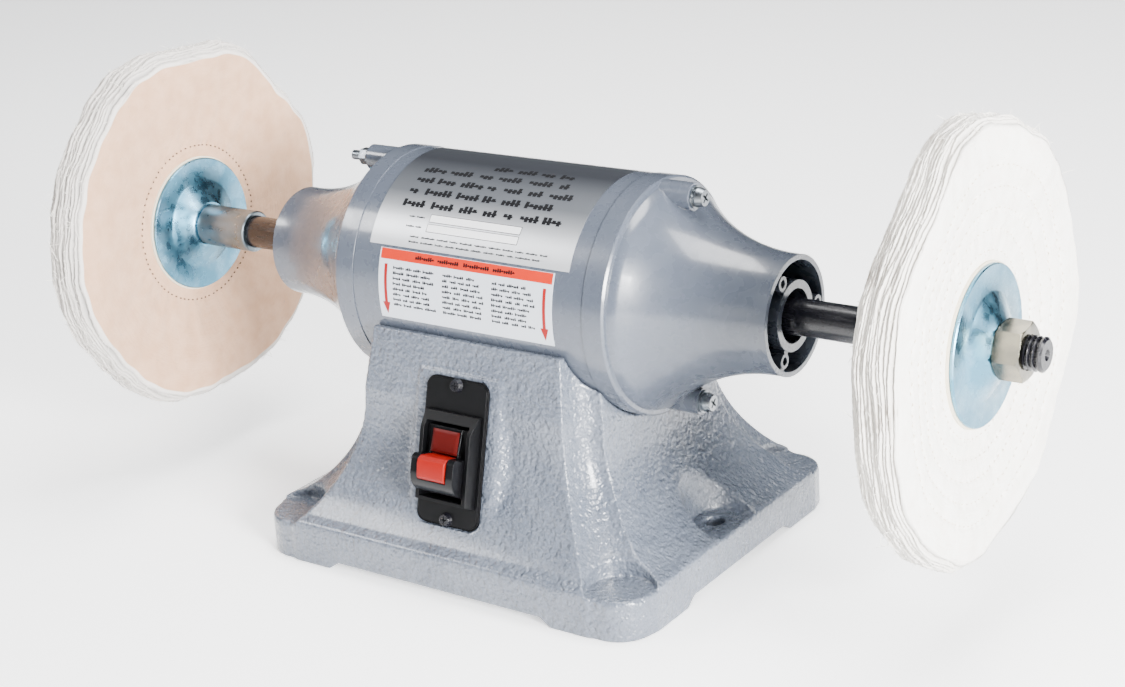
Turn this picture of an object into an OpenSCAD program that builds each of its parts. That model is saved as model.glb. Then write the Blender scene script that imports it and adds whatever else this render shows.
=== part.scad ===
// Two-wheel bench buffer: a cast pedestal carries a motor whose long
// spindle drives one cloth buffing wheel at each end.
// X runs along the spindle, Y from the switch side to the back, Z up.
// The origin is the middle of the base, on the bench.

/* [Overall] */
// Height of the spindle axis above the bench
axis_h = 136; // [126:1:164]
// Distance from the middle of the motor to the middle of each wheel
wheel_x = 235.5; // [220:0.5:284]
// Width of the base plate along the spindle
base_w = 228; // [206:1:274]
// Depth of the base plate from front to back
base_d = 194; // [178:1:233]

/* [Base casting] */
// Thickness of the base plate at its edge
base_t = 22; // [20:0.5:28]
// Radius of the plate's upright corners
plate_corner_r = 18; // [8:1:24]
// Thickness of the casting's walls
cast_wall = 7; // [5:0.5:8.5]
// Height of the recess between the feet
foot_h = 4; // [3:0.5:5]
// Length of each foot along the front edge
foot_len_x = 46; // [36:1:56]
// Length of each foot along the side edge
foot_len_y = 47; // [36:1:56]
// How far the saddle's lip stands below the spindle axis
lip_drop = 16; // [12:1:24]
// Thickness of the saddle's lip at its top edge
lip_t = 3.6; // [3:0.1:6]
// Half width of the pedestal below the motor
neck_half_w = 68.5; // [62:0.5:82]
// Half width of the flat front face at its top
face_half_w = 57; // [50:0.5:62]
// Half depth of the flat side face at its top
side_half_d = 48.5; // [44:0.5:52]
// Distance between the two bench bolts
bench_bolt_span = 200; // [180:1:244]
// Diameter of the bench bolt holes
bench_bolt_d = 11; // [8:0.5:13]

/* [Motor] */
// Outside diameter of the motor barrel
barrel_d = 116; // [100:1:140]
// Wall thickness of the motor barrel
barrel_wall = 3.8; // [3:0.1:5]
// Length of the motor barrel
barrel_len = 137.4; // [120:0.2:165]
// Length of the cylindrical skirt on each end bell
skirt_len = 11.7; // [8:0.1:16]
// Distance from the middle of the motor to each nose face
nose_x = 148.5; // [140:0.5:180]
// Outside diameter of each nose
nose_d = 57.6; // [54:0.2:68]
// Diameter of the two through bolts
tie_bolt_d = 5; // [4:0.5:6]
// Length of the rotor and stator stacks
stack_len = 62; // [50:1:74]
// Diameter of the rotor
rotor_d = 62; // [54:1:66]
// Air gap between the rotor and the stator
air_gap = 0.4; // [0.3:0.1:0.8]

/* [Spindle] */
// Diameter of the threaded arbor that carries a wheel
arbor_d = 15.875; // [12:0.005:16.5]
// Diameter of the spindle between bearing and arbor
spindle_d = 17.5; // [17:0.1:18.5]
// Bearing bore
bearing_bore = 20; // [19:0.5:24]
// Bearing outside diameter
bearing_od = 47; // [44:0.5:48]
// Bearing width
bearing_w = 14; // [12:0.5:16]
// How far the arbor stands out past the nut
arbor_end = 8; // [4:0.5:14]
// Pitch of the arbor thread
thread_pitch = 2.309; // [1.5:0.001:3]

/* [Wheels] */
// Diameter of the buffing wheels
wheel_d = 203.2; // [170:0.1:244]
// Thickness of a wheel where the flanges clamp it
wheel_hub_t = 10; // [8:0.5:14]
// Thickness of a wheel near its rim
wheel_rim_t = 22; // [16:1:32]
// Diameter of the wheel flanges
flange_d = 73.5; // [60:0.5:88]
// Thickness of the flange sheet
flange_t = 2; // [1.5:0.1:2.5]
// Height of the dish in the middle of each flange
dish_h = 6.2; // [4:0.1:8]
// Thickness of the fibre pads under the flanges
pad_t = 1.2; // [0.8:0.1:2]
// Width across the flats of the arbor nuts
nut_af = 23.8; // [22:0.1:28]
// Height of the arbor nuts
nut_h = 12.6; // [10:0.1:15]
// Outside diameter of the spacer sleeves
sleeve_d = 22.6; // [21.5:0.1:24]
// Length of the spacer sleeves
sleeve_len = 34.5; // [24:0.5:44]

/* [Switch] */
// Width of the switch plate
plate_w = 37.5; // [36:0.5:42]
// Height of the switch plate
plate_h = 73; // [68:0.5:78]
// Angle between the switch plate and upright
panel_tilt = 14.9; // [10:0.1:18]
// Height of the middle of the switch plate
panel_z = 67.7; // [64:0.1:72]
// How far the middle of the switch boss stands in front of the pedestal's wall
panel_proud = 4.8; // [3:0.1:9]
// Swing of the rocker between on and off
rocker_swing = 22; // [12:1:24]

/* [Hidden] */

$fn = 96;
cut = 1;                     // how far a cutting shape runs past the face that it cuts
joint_gap = 0.1;             // clearance between pieces that slip together
run_gap = 0.4;               // clearance between pieces that move past each other
cradle_gap = 0.6;            // gap between the barrel and the saddle
trim = 5;                    // extra height of the pedestal before its lip is cut level

paint = [0.66, 0.68, 0.71];
motor_paint = [0.62, 0.64, 0.67];
zinc = [0.72, 0.80, 0.86];
steel = [0.55, 0.56, 0.58];
dark_steel = [0.12, 0.12, 0.13];
black_plastic = [0.05, 0.05, 0.06];
cloth = [0.93, 0.90, 0.84];

// ---- heights and half sizes that several pieces share ----
barrel_r = barrel_d / 2;
barrel_bore_r = barrel_r - barrel_wall;
half_barrel = barrel_len / 2;
label_half = half_barrel - 9.2;
saddle_r = barrel_r + cradle_gap;
lip_z = axis_h - lip_drop;
half_w = base_w / 2;
half_d = base_d / 2;

// ---- pedestal: every section is a rectangle whose corners are fluted ----
edge_step = 0.4;             // the flare stops this far inside the plate's edge
flare_w = 0.62;              // where the side flare starts, as a share of the pedestal's height
flare_d = 0.68;              // where the front flare starts, in the same way
flare_corner = 0.54;         // where the flutes spread along the sides
wall_taper = 0.12;           // slope of the side walls above the flare
face_taper = 0.22;           // slope of the front wall above the flare
ped_h = lip_z - base_t;
face_half_d = sqrt(saddle_r * saddle_r - lip_drop * lip_drop) + lip_t;

// half size at height z: a tapered wall, then an arc out to the end value at the plate
function flare(z, top, end, start, taper = wall_taper) =
  let (z1 = base_t + ped_h * start,
       h1 = top + (lip_z - z1) * taper,
       run = end - h1,
       drop = z1 - base_t,
       r = (run * run + drop * drop) / (2 * run))
  z >= z1 ? top + (lip_z - z) * taper : h1 + r - sqrt(r * r - pow(z1 - max(z, base_t), 2));

function body_x(z) = flare(z, neck_half_w - 0.4, half_w - edge_step, flare_w);
function body_y(z) = flare(z, face_half_d, half_d - edge_step, flare_d, face_taper);
function face_x(z) = flare(z, face_half_w - 0.6, half_w - 26, flare_d);
function side_y(z) = flare(z, side_half_d - 2.4, half_d - 21, flare_corner);

// the switch plate leans back in a shallow seat, in a boss that stands out of the wall
plate_reach = plate_h / 2 * cos(panel_tilt);
panel_y = body_y(panel_z) + panel_proud;
seat_depth = 0.3;
// flat face of the switch boss, as its distance in front of the spindle at height z
function panel_face(z) = panel_y + seat_depth / cos(panel_tilt) + (panel_z - z) * tan(panel_tilt);
boss_half_w = plate_w / 2 + 5.5;
boss_flank = 1.3;            // slope of the boss's sides
boss_z0 = panel_z + plate_reach + 1.35;
boss_z1 = boss_z0 + 3.4;
function boss_proud(z) = z < boss_z1 ? max(0, panel_face(z) - body_y(z)) : 0;

// one fluted corner, in the first quadrant, moved in by the wall w
function flute(z, w, n) =
  let (bx = body_x(z), by = body_y(z),
       rx = bx - face_x(z) + w, ry = by - side_y(z) + w,
       a0 = asin(w / rx), a1 = acos(w / ry))
  [for (i = [0 : n]) let (a = a0 + (a1 - a0) * i / n) [bx - rx * sin(a), by - ry * cos(a)]];
function reversed(list) = [for (i = [len(list) - 1 : -1 : 0]) list[i]];
// closed outline from its corner in the first quadrant and the points along its front edge
function outline(q, front) =
  concat(q, [for (p = reversed(q)) [-p[0], p[1]]], [for (p = q) [-p[0], -p[1]]],
         front, [for (p = reversed(q)) [p[0], -p[1]]]);
function front_edge(y, proud) =
  let (x1 = boss_half_w, x2 = boss_half_w + 1 + proud * boss_flank)
  [[-x2, -y], [-x1, -y - proud], [x1, -y - proud], [x2, -y]];
function pedestal_ring(z, n) =
  [for (p = outline(flute(z, 0, n), front_edge(body_y(z), boss_proud(z)))) [p[0], p[1], z]];
function plate_ring(z, n) =
  let (r = plate_corner_r, q = [for (i = [0 : n]) let (a = 90 * i / n)
    [half_w - r + r * cos(a), half_d - r + r * sin(a)]])
  [for (p = outline(q, front_edge(half_d, 0))) [p[0], p[1], z]];

// closed solid through rings that all have the same number of points
module skin(rings) {
  count = len(rings[0]);
  last = len(rings) - 1;
  points = [for (ring = rings) each ring];
  sides = [for (k = [0 : last - 1], i = [0 : count - 1])
    let (a = k * count + i, b = k * count + (i + 1) % count)
    each [[a, b + count, b], [a, a + count, b + count]]];
  bottom = [for (i = [0 : count - 1]) i];
  top = [for (i = [count - 1 : -1 : 0]) last * count + i];
  polyhedron(points, concat([bottom, top], sides), convexity = 8);
}
// heights closer together near the plate, where the flare turns fastest
function heights(z0, z1, n) = [for (i = [0 : n]) z0 + (z1 - z0) * pow(i / n, 1.35)];

// ---- bench bolts, corner pads and bosses ----
bolt_x = bench_bolt_span / 2;
pocket_r = 18;               // radius of the scoop above each bench bolt
pocket_draft = 7;            // how much wider the scoop is at its top
pocket_x = bolt_x + 7;
pocket_top = base_t + 34;
pad_r = 17;                  // radius of the spot-faced pad at each corner
pad_x = half_w - 13.5;
pad_y = half_d - 12;
pad_z = base_t - 1.5;
cavity_top = axis_h - saddle_r - cast_wall;

// ---- bottom cover ----
cover_t = 1.5;
cover_half_w = bolt_x - bench_bolt_d / 2 - 4;
cover_half_d = half_d - 14;
cover_z = foot_h + 0.5;
cover_ledge = 7;
cover_corner_r = 10;
post_r = 7;
post_x = cover_half_w - 11.5;
post_y = cover_half_d - 11.5;
post_h = 24;
small_screw_r = 2;
ground_x = -20;
ground_y = 22;

// ---- cord inlet, in the back edge of the plate ----
inlet_x = 46;
inlet_r = 6.4;
inlet_flange_r = 8.4;
inlet_z = (base_t + foot_h) / 2;
cord_r = 4.2;

// ---- switch panel ----
plate_t = 2;
plate_corner = 6;
plate_screw_y = plate_h / 2 - 3.4;
plate_screw_r = 1.9;
body_half_w = 15;            // switch body
body_low = -24;
body_high = 18.5;
body_depth = 24;
bezel_over = 1.2;            // how far the bezel covers the plate
bezel_h = 6.7;
rocker_half_w = 12.6;
pivot_y = -4;
pivot_z = 1;
pivot_r = 1.8;
pivot_gap = 0.06;
rocker_low = -20;
rocker_high = 13;
pocket_depth = (pivot_y - rocker_low) * sin(rocker_swing) + 2;
key_half_w = 8;
key_low = -12.3;
key_high = -0.8;
key_foot = 4;
key_out = 18.6;
lens_half_w = 8.2;

// ---- motor ----
skirt_r = barrel_r + 0.4;
rim_x = half_barrel + skirt_len;
bolt_circle_r = barrel_bore_r - tie_bolt_d / 2 - 0.3;
bolt_boss_r = skirt_r - bolt_circle_r - 0.3;
shell_t = 4;
nose_r = nose_d / 2;
nose_wall = 2.5;
ring_bore_r = 13;
ring_r = 17;
rib_t = 3.4;
bearing_r = bearing_od / 2;
bearing_x1 = nose_x - 28.5;          // outer face of the bearing
bearing_x0 = bearing_x1 - bearing_w;
bearing_mid = (bearing_x0 + bearing_x1) / 2;
hub_r = bearing_r + 4.6;
shoulder_r = skirt_r - 3;
shoulder_turn = 9;                   // radius of the bell's rounded shoulder
trumpet_end = nose_x - 3.5;          // where the trumpet runs level
washer_t = 1;
washer_r = 5.6;
spring_washer_t = 1.3;
spring_washer_r = 4.6;
washer_room = 2.35;                  // from the washers down to the trumpet

// trumpet: an arc that is level at trumpet_end and passes the shoulder
trumpet_x0 = rim_x + 0.6 * shoulder_turn;
trumpet_r0 = shoulder_r - 0.33 * shoulder_turn;
trumpet_run = trumpet_end - trumpet_x0;
trumpet_rise = trumpet_r0 - nose_r;
trumpet_big = (trumpet_run * trumpet_run + trumpet_rise * trumpet_rise) / (2 * trumpet_rise);
// the tie bolts' bosses end where the trumpet has fallen clear of their washers
washer_floor = min(bolt_circle_r - washer_r - washer_room, trumpet_r0);
bolt_boss_x = trumpet_end - sqrt(pow(trumpet_big, 2) - pow(nose_r + trumpet_big - washer_floor, 2));
function trumpet(x) = x >= trumpet_end ? nose_r
  : nose_r + trumpet_big - sqrt(trumpet_big * trumpet_big - pow(trumpet_end - x, 2));
function bell_r(x) = x <= rim_x + 0.1 ? shoulder_r
  : x < trumpet_x0 ? shoulder_r - (shoulder_r - trumpet_r0) * pow((x - rim_x) / (trumpet_x0 - rim_x), 2)
  : trumpet(x);

// ---- spindle ----
arbor_r = arbor_d / 2;
spindle_r = spindle_d / 2;
seat_r = bearing_bore / 2;
core_shaft_r = seat_r + 1.5;
rotor_r = rotor_d / 2;
half_stack = stack_len / 2;
slot_count = 24;                     // winding slots of the stator
slot_r0 = rotor_r + air_gap + 2.4;
slot_r1 = slot_r0 + 9.5;
slot_w = 3.6;
inner_face = wheel_x - wheel_hub_t / 2 - pad_t;    // where the inner flange meets its pad
outer_face = wheel_x + wheel_hub_t / 2 + pad_t;
clamp_t = wheel_hub_t / 2 + pad_t + flange_t;      // wheel middle to a flange's outer rim face
inner_dish_x = wheel_x - clamp_t - dish_h;
outer_dish_x = wheel_x + clamp_t + dish_h;
sleeve_x0 = inner_dish_x - sleeve_len;
step_x = sleeve_x0 + 13;                           // shoulder where the arbor starts
sleeve_bore_r = arbor_r + joint_gap;
sleeve_step_r = spindle_r + joint_gap;
nut_x1 = outer_dish_x + nut_h;
arbor_x = nut_x1 + arbor_end;
thread_depth = 0.61 * thread_pitch;
thread_x0 = wheel_x - clamp_t - 1;
dish_r0 = arbor_r + 4.8;
dish_r1 = flange_d / 2 - 12.5;
flange_bore_r = arbor_r + joint_gap;

// ---- bearing ----
ball_count = 8;
ball_pitch_r = (seat_r + bearing_r) / 2;
ball_r = (bearing_r - seat_r) * 0.294;
race_r = ball_r + 0.15;
race_wall_in = ball_pitch_r - ball_r * 0.46;
race_wall_out = ball_pitch_r + ball_r * 0.46;
cage_t = 0.95;
cage_half_w = ball_r + 0.9;
pocket_gap = 0.12;

// ---- capacitor ----
cap_r = 17.5;
cap_len = 68;
cap_y = 30;
strap_t = 1;
strap_w = 12;
cap_z = cover_z + cover_t + strap_t + cap_r + joint_gap;
clamp_tab_y = cap_r + 8;     // from the capacitor's axis to the clamp's screw

mount_bolt_x = 38;
mount_bolt_r = 3;
lead_r = 1.6;
lead_x = 5;
lead_hole_r = 8.6;           // hole in the saddle; the barrel's hole is smaller
tab_len = 8;                 // switch terminals
tab_mid = -3;

// ======== helpers ========
// turns a shape made along Z so that it lies along the spindle
module along_x() { translate([0, 0, axis_h]) rotate([90, 0, 90]) children(); }
// revolves an outline of [position along the spindle, radius] points
module revolve_x(outline) {
  along_x() rotate_extrude() polygon([for (p = outline) [p[1], p[0]]]);
}
// cylinder between two places on the spindle axis
module disc_x(x0, x1, r) { along_x() translate([0, 0, x0]) cylinder(h = x1 - x0, r = r); }
module ring_x(x0, x1, r_out, r_in) {
  difference() {
    disc_x(x0, x1, r_out);
    disc_x(x0 - cut, x1 + cut, r_in);
  }
}
// places children at the top and the bottom of the bolt circle
module at_tie_bolts() {
  for (side = [-1, 1]) translate([0, 0, side * bolt_circle_r]) children();
}
module left_of() { mirror([1, 0, 0]) children(); }
// panel frame: x across, y up the plate, z out of it
module on_panel() { translate([0, -panel_y, panel_z]) rotate([90 - panel_tilt, 0, 0]) children(); }
module rounded_plate(w, d, r, h) {
  linear_extrude(h) rounded_rect(w, d, r);
}
module rounded_rect(w, d, r) {
  square([w - 2 * r, d], center = true);
  square([w, d - 2 * r], center = true);
  for (sx = [-1, 1], sy = [-1, 1]) translate([sx * (w / 2 - r), sy * (d / 2 - r)]) circle(r);
}
module box_between(a, b) { translate(a) cube(b - a); }
module at_corners(x, y) {
  for (sx = [-1, 1], sy = [-1, 1]) translate([sx * x, sy * y, 0]) children();
}

// ======== base ========
module pedestal() {
  n = 9;
  skin(concat([plate_ring(0, n), plate_ring(base_t, n)],
              [for (z = concat(heights(base_t, boss_z0, 19), [boss_z1, lip_z + trim])) pedestal_ring(z, n)]));
}

module base_cavity() {
  difference() {
    intersection() {
      skin([for (z = concat([-cut], heights(base_t, cavity_top, 7)))
        [for (p = outline(flute(z, cast_wall, 4), [])) [p[0], p[1], z]]]);
      translate([0, 0, -2 * cut])
        rounded_plate(2 * (cover_half_w - cover_ledge), 2 * (cover_half_d - cover_ledge),
                      cover_corner_r, cavity_top + 3 * cut);
    }
    for (side = [-1, 1]) translate([side * pocket_x, 0, -2 * cut])
      cylinder(h = pocket_top + 10, r = pocket_r + pocket_draft + 3);
    at_corners(pad_x, pad_y) translate([0, 0, pad_z - 6]) cylinder(h = 80, r = pad_r + 5);
    at_corners(post_x, post_y) translate([0, 0, -2 * cut]) cylinder(h = post_h, r = post_r);
  }
}

module foot_notches() {
  slope = 6;
  gap_x = half_w - foot_len_x;
  gap_y = half_d - foot_len_y;
  rotate([90, 0, 0]) translate([0, 0, -half_d - cut]) linear_extrude(base_d + 2 * cut)
    polygon([[-gap_x, -cut], [gap_x, -cut], [gap_x, 0], [gap_x - slope, foot_h],
             [slope - gap_x, foot_h], [-gap_x, 0]]);
  rotate([90, 0, 90]) translate([0, 0, -half_w - cut]) linear_extrude(base_w + 2 * cut)
    polygon([[-gap_y, -cut], [gap_y, -cut], [gap_y, 0], [gap_y - slope, foot_h],
             [slope - gap_y, foot_h], [-gap_y, 0]]);
}

module base_casting() color(paint) difference() {
  pedestal();
  translate([-half_w, -half_d, lip_z]) cube([base_w, base_d, trim + cut]);
  disc_x(-half_w, half_w, saddle_r);
  base_cavity();
  // seat of the bottom cover
  translate([0, 0, -cut])
    rounded_plate(2 * cover_half_w + 1, 2 * cover_half_d + 1, cover_corner_r, cover_z + cover_t + cut);
  foot_notches();
  // scoops and holes of the bench bolts
  for (side = [-1, 1]) {
    translate([side * pocket_x, 0, base_t])
      cylinder(h = pocket_top - base_t, r1 = pocket_r, r2 = pocket_r + pocket_draft);
    translate([side * bolt_x, 0, -cut]) cylinder(h = base_t + 3 * cut, r = bench_bolt_d / 2);
  }
  at_corners(pad_x, pad_y) translate([0, 0, pad_z]) cylinder(h = 60, r = pad_r);
  // seat, window and screw holes of the switch
  on_panel() {
    rounded_plate(plate_w + 2 * run_gap, plate_h + 2 * run_gap, plate_corner + run_gap, 40);
    translate([-body_half_w - 0.5, body_low - 0.5, -40])
      cube([2 * body_half_w + 1, body_high - body_low + 1, 40 + cut]);
    for (side = [-1, 1]) translate([0, side * plate_screw_y, -9])
      cylinder(h = 9 + cut, r = plate_screw_r + joint_gap);
  }
  translate([inlet_x, half_d + cut, inlet_z]) rotate([90, 0, 0]) cylinder(h = 40, r = inlet_r);
  // motor bolts, leads and ground screw, through the floor of the saddle
  for (side = [-1, 1]) translate([side * mount_bolt_x, 0, cavity_top - cut])
    cylinder(h = cast_wall + 6, r = mount_bolt_r + 0.4);
  translate([0, 0, cavity_top - cut]) cylinder(h = cast_wall + 6, r = lead_hole_r);
  translate([ground_x, ground_y, cavity_top - cut]) cylinder(h = 6, r = small_screw_r + joint_gap);
  // cover screws
  at_corners(post_x, post_y) cylinder(h = post_h - 4, r = small_screw_r + joint_gap);
}

module bottom_cover() color(steel) {
  difference() {
    translate([0, 0, cover_z])
      rounded_plate(2 * cover_half_w, 2 * cover_half_d, cover_corner_r - 0.5, cover_t);
    at_corners(post_x, post_y) translate([0, 0, cover_z - cut])
      cylinder(h = cover_t + 2 * cut, r = small_screw_r + 0.3);
    translate([0, cap_y + clamp_tab_y, cover_z - cut])
      cylinder(h = cover_t + 2 * cut, r = small_screw_r + joint_gap);
  }
}

// pan head screw pointing along +Z, its head below z = 0
module pan_screw(r, length, head_r, head_h) {
  cylinder(h = length, r = r);
  difference() {
    translate([0, 0, -head_h]) cylinder(h = head_h, r1 = head_r * 0.72, r2 = head_r);
    for (a = [0, 90]) rotate([0, 0, a])
      translate([-head_r * 0.5, -head_r * 0.09, -head_h - cut])
        cube([head_r, head_r * 0.18, head_h * 0.5 + cut]);
  }
}

module bottom_cover_screws() color(steel) {
  at_corners(post_x, post_y) translate([0, 0, cover_z])
    pan_screw(small_screw_r, 14, 3.8, 2.2);
}

module motor_mount_bolts() color(steel) {
  tip_z = axis_h - barrel_bore_r - 0.4;
  for (side = [-1, 1]) translate([side * mount_bolt_x, 0, 0]) {
    translate([0, 0, cavity_top - 5.6]) cylinder(h = 4, r = 5.6, $fn = 6);
    translate([0, 0, cavity_top - 1.6]) cylinder(h = 1.6, r = 6.4);
    translate([0, 0, cavity_top - 3]) cylinder(h = tip_z - cavity_top + 3, r = mount_bolt_r);
  }
}

// ======== motor ========
module motor_barrel() color(motor_paint) {
  difference() {
    ring_x(-half_barrel, half_barrel, barrel_r, barrel_bore_r);
    for (side = [-1, 1]) translate([side * mount_bolt_x, 0, axis_h - barrel_r - cut])
      cylinder(h = barrel_wall + 3, r = mount_bolt_r);
    translate([0, 0, axis_h - barrel_r - cut]) cylinder(h = barrel_wall + 3, r = lead_hole_r - 1.6);
  }
}

module bell() {
  n = 22;
  shell_in = rim_x + 1;
  outer = concat(
    [[half_barrel, skirt_r], [rim_x - 1, skirt_r], [rim_x, skirt_r - 1], [rim_x, shoulder_r]],
    [for (i = [1 : n]) let (x = rim_x + (nose_x - rim_x) * i / n) [x, bell_r(x)]]);
  nose = [
    [nose_x, nose_r - nose_wall], [nose_x - 24, bell_r(nose_x - 24) - nose_wall - 0.6],
    [nose_x - 24, ring_r], [nose_x, ring_r], [nose_x, ring_bore_r],
    [bearing_x1 + 0.1, ring_bore_r], [bearing_x1 + 0.1, bearing_r],
    [bearing_x0 - 1.5, bearing_r], [bearing_x0 - 1.5, hub_r], [bearing_x0 + 5, hub_r]];
  inside = concat(
    [for (i = [0 : 8]) let (x = bearing_x0 + 1 - (bearing_x0 + 1 - shell_in) * i / 8)
      [x, max(bell_r(x) - shell_t, hub_r + 0.5)]],
    [[half_barrel - 5, shoulder_r - shell_t - 0.6],
     [half_barrel - 5, barrel_bore_r - joint_gap], [half_barrel, barrel_bore_r - joint_gap]]);
  difference() {
    union() {
      revolve_x(concat(outer, nose, inside));
      along_x() for (a = [0, 120, 240]) rotate([0, 0, a]) {
        translate([ring_r - 1.5, -rib_t / 2, nose_x - 24.5])
          cube([nose_r - ring_r - nose_wall + 2.4, rib_t, 24]);
        translate([(nose_r + ring_r) / 2 - 1.2, 0, nose_x - 24.5]) cylinder(h = 24.5, r = 3.6);
      }
      at_tie_bolts() disc_x(rim_x - 3, bolt_boss_x, bolt_boss_r);
    }
    at_tie_bolts() disc_x(half_barrel - 6, bolt_boss_x + cut, tie_bolt_d / 2 + 0.3);
    along_x() for (a = [0, 120, 240]) rotate([0, 0, a])
      translate([(nose_r + ring_r) / 2 - 1.2, 0, nose_x - 14]) cylinder(h = 14 + cut, r = 2);
    // keep the bosses out of the bearing hub's room
    ring_x(half_barrel - 6, rim_x - 2, shoulder_r - shell_t - 0.7, hub_r + 4);
  }
}
module bell_right() color(motor_paint) bell();
module bell_left() color(motor_paint) left_of() bell();

module stator_core() color(steel) {
  along_x() translate([0, 0, -half_stack]) linear_extrude(stack_len) difference() {
    circle(barrel_bore_r - joint_gap);
    circle(rotor_r + air_gap);
    for (i = [0 : slot_count - 1]) rotate((i + 0.5) * 360 / slot_count)
      translate([slot_r0, -slot_w / 2]) square([slot_r1 - slot_r0, slot_w]);
    for (a = [90, 270]) rotate(a) translate([bolt_circle_r, 0]) {
      circle(tie_bolt_d / 2 + 0.6);
      translate([0, -tie_bolt_d / 2 - 0.6]) square([tie_bolt_d, tie_bolt_d + 1.2]);
    }
  }
}

module stator_winding() color([0.72, 0.38, 0.16]) {
  turn = 17;
  along_x() {
    for (side = [0, 1]) mirror([0, 0, side]) translate([0, 0, half_stack + 0.4])
      rotate_extrude() translate([(slot_r0 + slot_r1) / 2, 0])
        polygon([[-4.6, 0], [4.6, 0], [6.2, 3], [6.2, turn - 3], [3.5, turn],
                 [-2.5, turn], [-4.6, turn - 3]]);
    for (i = [0 : slot_count - 1]) rotate([0, 0, (i + 0.5) * 360 / slot_count])
      translate([slot_r0 + 0.3, -slot_w / 2 + 0.3, -half_stack - 1])
        cube([slot_r1 - slot_r0 - 0.6, slot_w - 0.6, stack_len + 2]);
  }
}

module through_bolts() color(steel) {
  head_x = bolt_boss_x + washer_t + spring_washer_t;
  at_tie_bolts() {
    disc_x(-bolt_boss_x - 13, head_x + 1, tie_bolt_d / 2);
    along_x() translate([0, 0, head_x]) difference() {
      cylinder(h = 3.4, r1 = 4.9, r2 = 3.9);
      for (a = [45, 135]) rotate([0, 0, a]) translate([-2.6, -0.5, 1.6]) cube([5.2, 1, 3]);
    }
  }
}
module through_bolt_washers() color(zinc) {
  for (side = [0, 1]) mirror([side, 0, 0]) at_tie_bolts() {
    ring_x(bolt_boss_x, bolt_boss_x + washer_t, washer_r, tie_bolt_d / 2 + joint_gap);
    ring_x(bolt_boss_x + washer_t + 0.02, bolt_boss_x + washer_t + spring_washer_t - 0.02,
           spring_washer_r, tie_bolt_d / 2 + joint_gap);
  }
}
module through_bolt_nuts() color(zinc) {
  x0 = -bolt_boss_x - washer_t - spring_washer_t;
  at_tie_bolts() difference() {
    along_x() translate([0, 0, x0 - 4.5]) cylinder(h = 4.5, r = 4.6, $fn = 6);
    disc_x(x0 - 4.5 - cut, x0 + cut, tie_bolt_d / 2 + joint_gap);
  }
}

// thin plate wrapped on the barrel; angles run up from the front
module wrapped_plate(x0, x1, a0, a1, t) {
  translate([0, 0, axis_h]) rotate([0, 90, 0]) rotate([0, 0, -90 - a1]) translate([0, 0, x0])
    rotate_extrude(angle = a1 - a0) translate([barrel_r, 0]) square([t, x1 - x0]);
}
module data_plate() color([0.75, 0.76, 0.78]) wrapped_plate(-label_half, label_half, 25.5, 100, 0.35);
module info_label() color([0.92, 0.92, 0.92])
  wrapped_plate(7.5 - label_half, label_half - 7.5, -10.8, 24.2, 0.25);

// ======== bearings ========
module race_groove(x) {
  along_x() translate([0, 0, x]) rotate_extrude() translate([ball_pitch_r, 0]) circle(race_r, $fn = 48);
}
module outer_race() difference() {
  ring_x(bearing_x0, bearing_x1, bearing_r - 0.01, race_wall_out);
  race_groove(bearing_mid);
}
module inner_race() difference() {
  ring_x(bearing_x0, bearing_x1, race_wall_in, seat_r + 0.01);
  race_groove(bearing_mid);
}
module at_balls() {
  for (i = [0 : ball_count - 1]) along_x() rotate([0, 0, i * 360 / ball_count])
    translate([ball_pitch_r, 0, bearing_mid]) children();
}
module balls() at_balls() sphere(ball_r, $fn = 48);
module cage() difference() {
  ring_x(bearing_mid - cage_half_w, bearing_mid + cage_half_w,
         ball_pitch_r + cage_t, ball_pitch_r - cage_t);
  // radial pockets that hold the balls
  at_balls() translate([-ball_r, 0, 0]) rotate([0, 90, 0])
    cylinder(h = 2 * ball_r, r = ball_r + pocket_gap);
}
module bearing_outer_right() color(steel) outer_race();
module bearing_outer_left() color(steel) left_of() outer_race();
module bearing_inner_right() color(steel) inner_race();
module bearing_inner_left() color(steel) left_of() inner_race();
module bearing_balls_right() color(zinc) balls();
module bearing_balls_left() color(zinc) left_of() balls();
module bearing_cage_right() color([0.7, 0.6, 0.3]) cage();
module bearing_cage_left() color([0.7, 0.6, 0.3]) left_of() cage();
module wave_washer() color(steel)
  left_of() ring_x(bearing_x0 - 1.2, bearing_x0 - 0.1, bearing_r - 0.3, race_wall_out + 0.6);

// ======== switch ========
module switch_plate() color(black_plastic) {
  bevel = 0.8;
  on_panel() difference() {
    union() {
      rounded_plate(plate_w, plate_h, plate_corner, plate_t - bevel);
      rounded_plate(plate_w - 2 * bevel, plate_h - 2 * bevel, plate_corner - bevel, plate_t);
    }
    translate([-body_half_w - joint_gap, body_low - joint_gap, -cut])
      cube([2 * (body_half_w + joint_gap), body_high - body_low + 2 * joint_gap, plate_t + 2 * cut]);
    for (side = [-1, 1]) translate([0, side * plate_screw_y, -cut])
      cylinder(h = plate_t + 2 * cut, r = plate_screw_r + joint_gap);
  }
}

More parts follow.
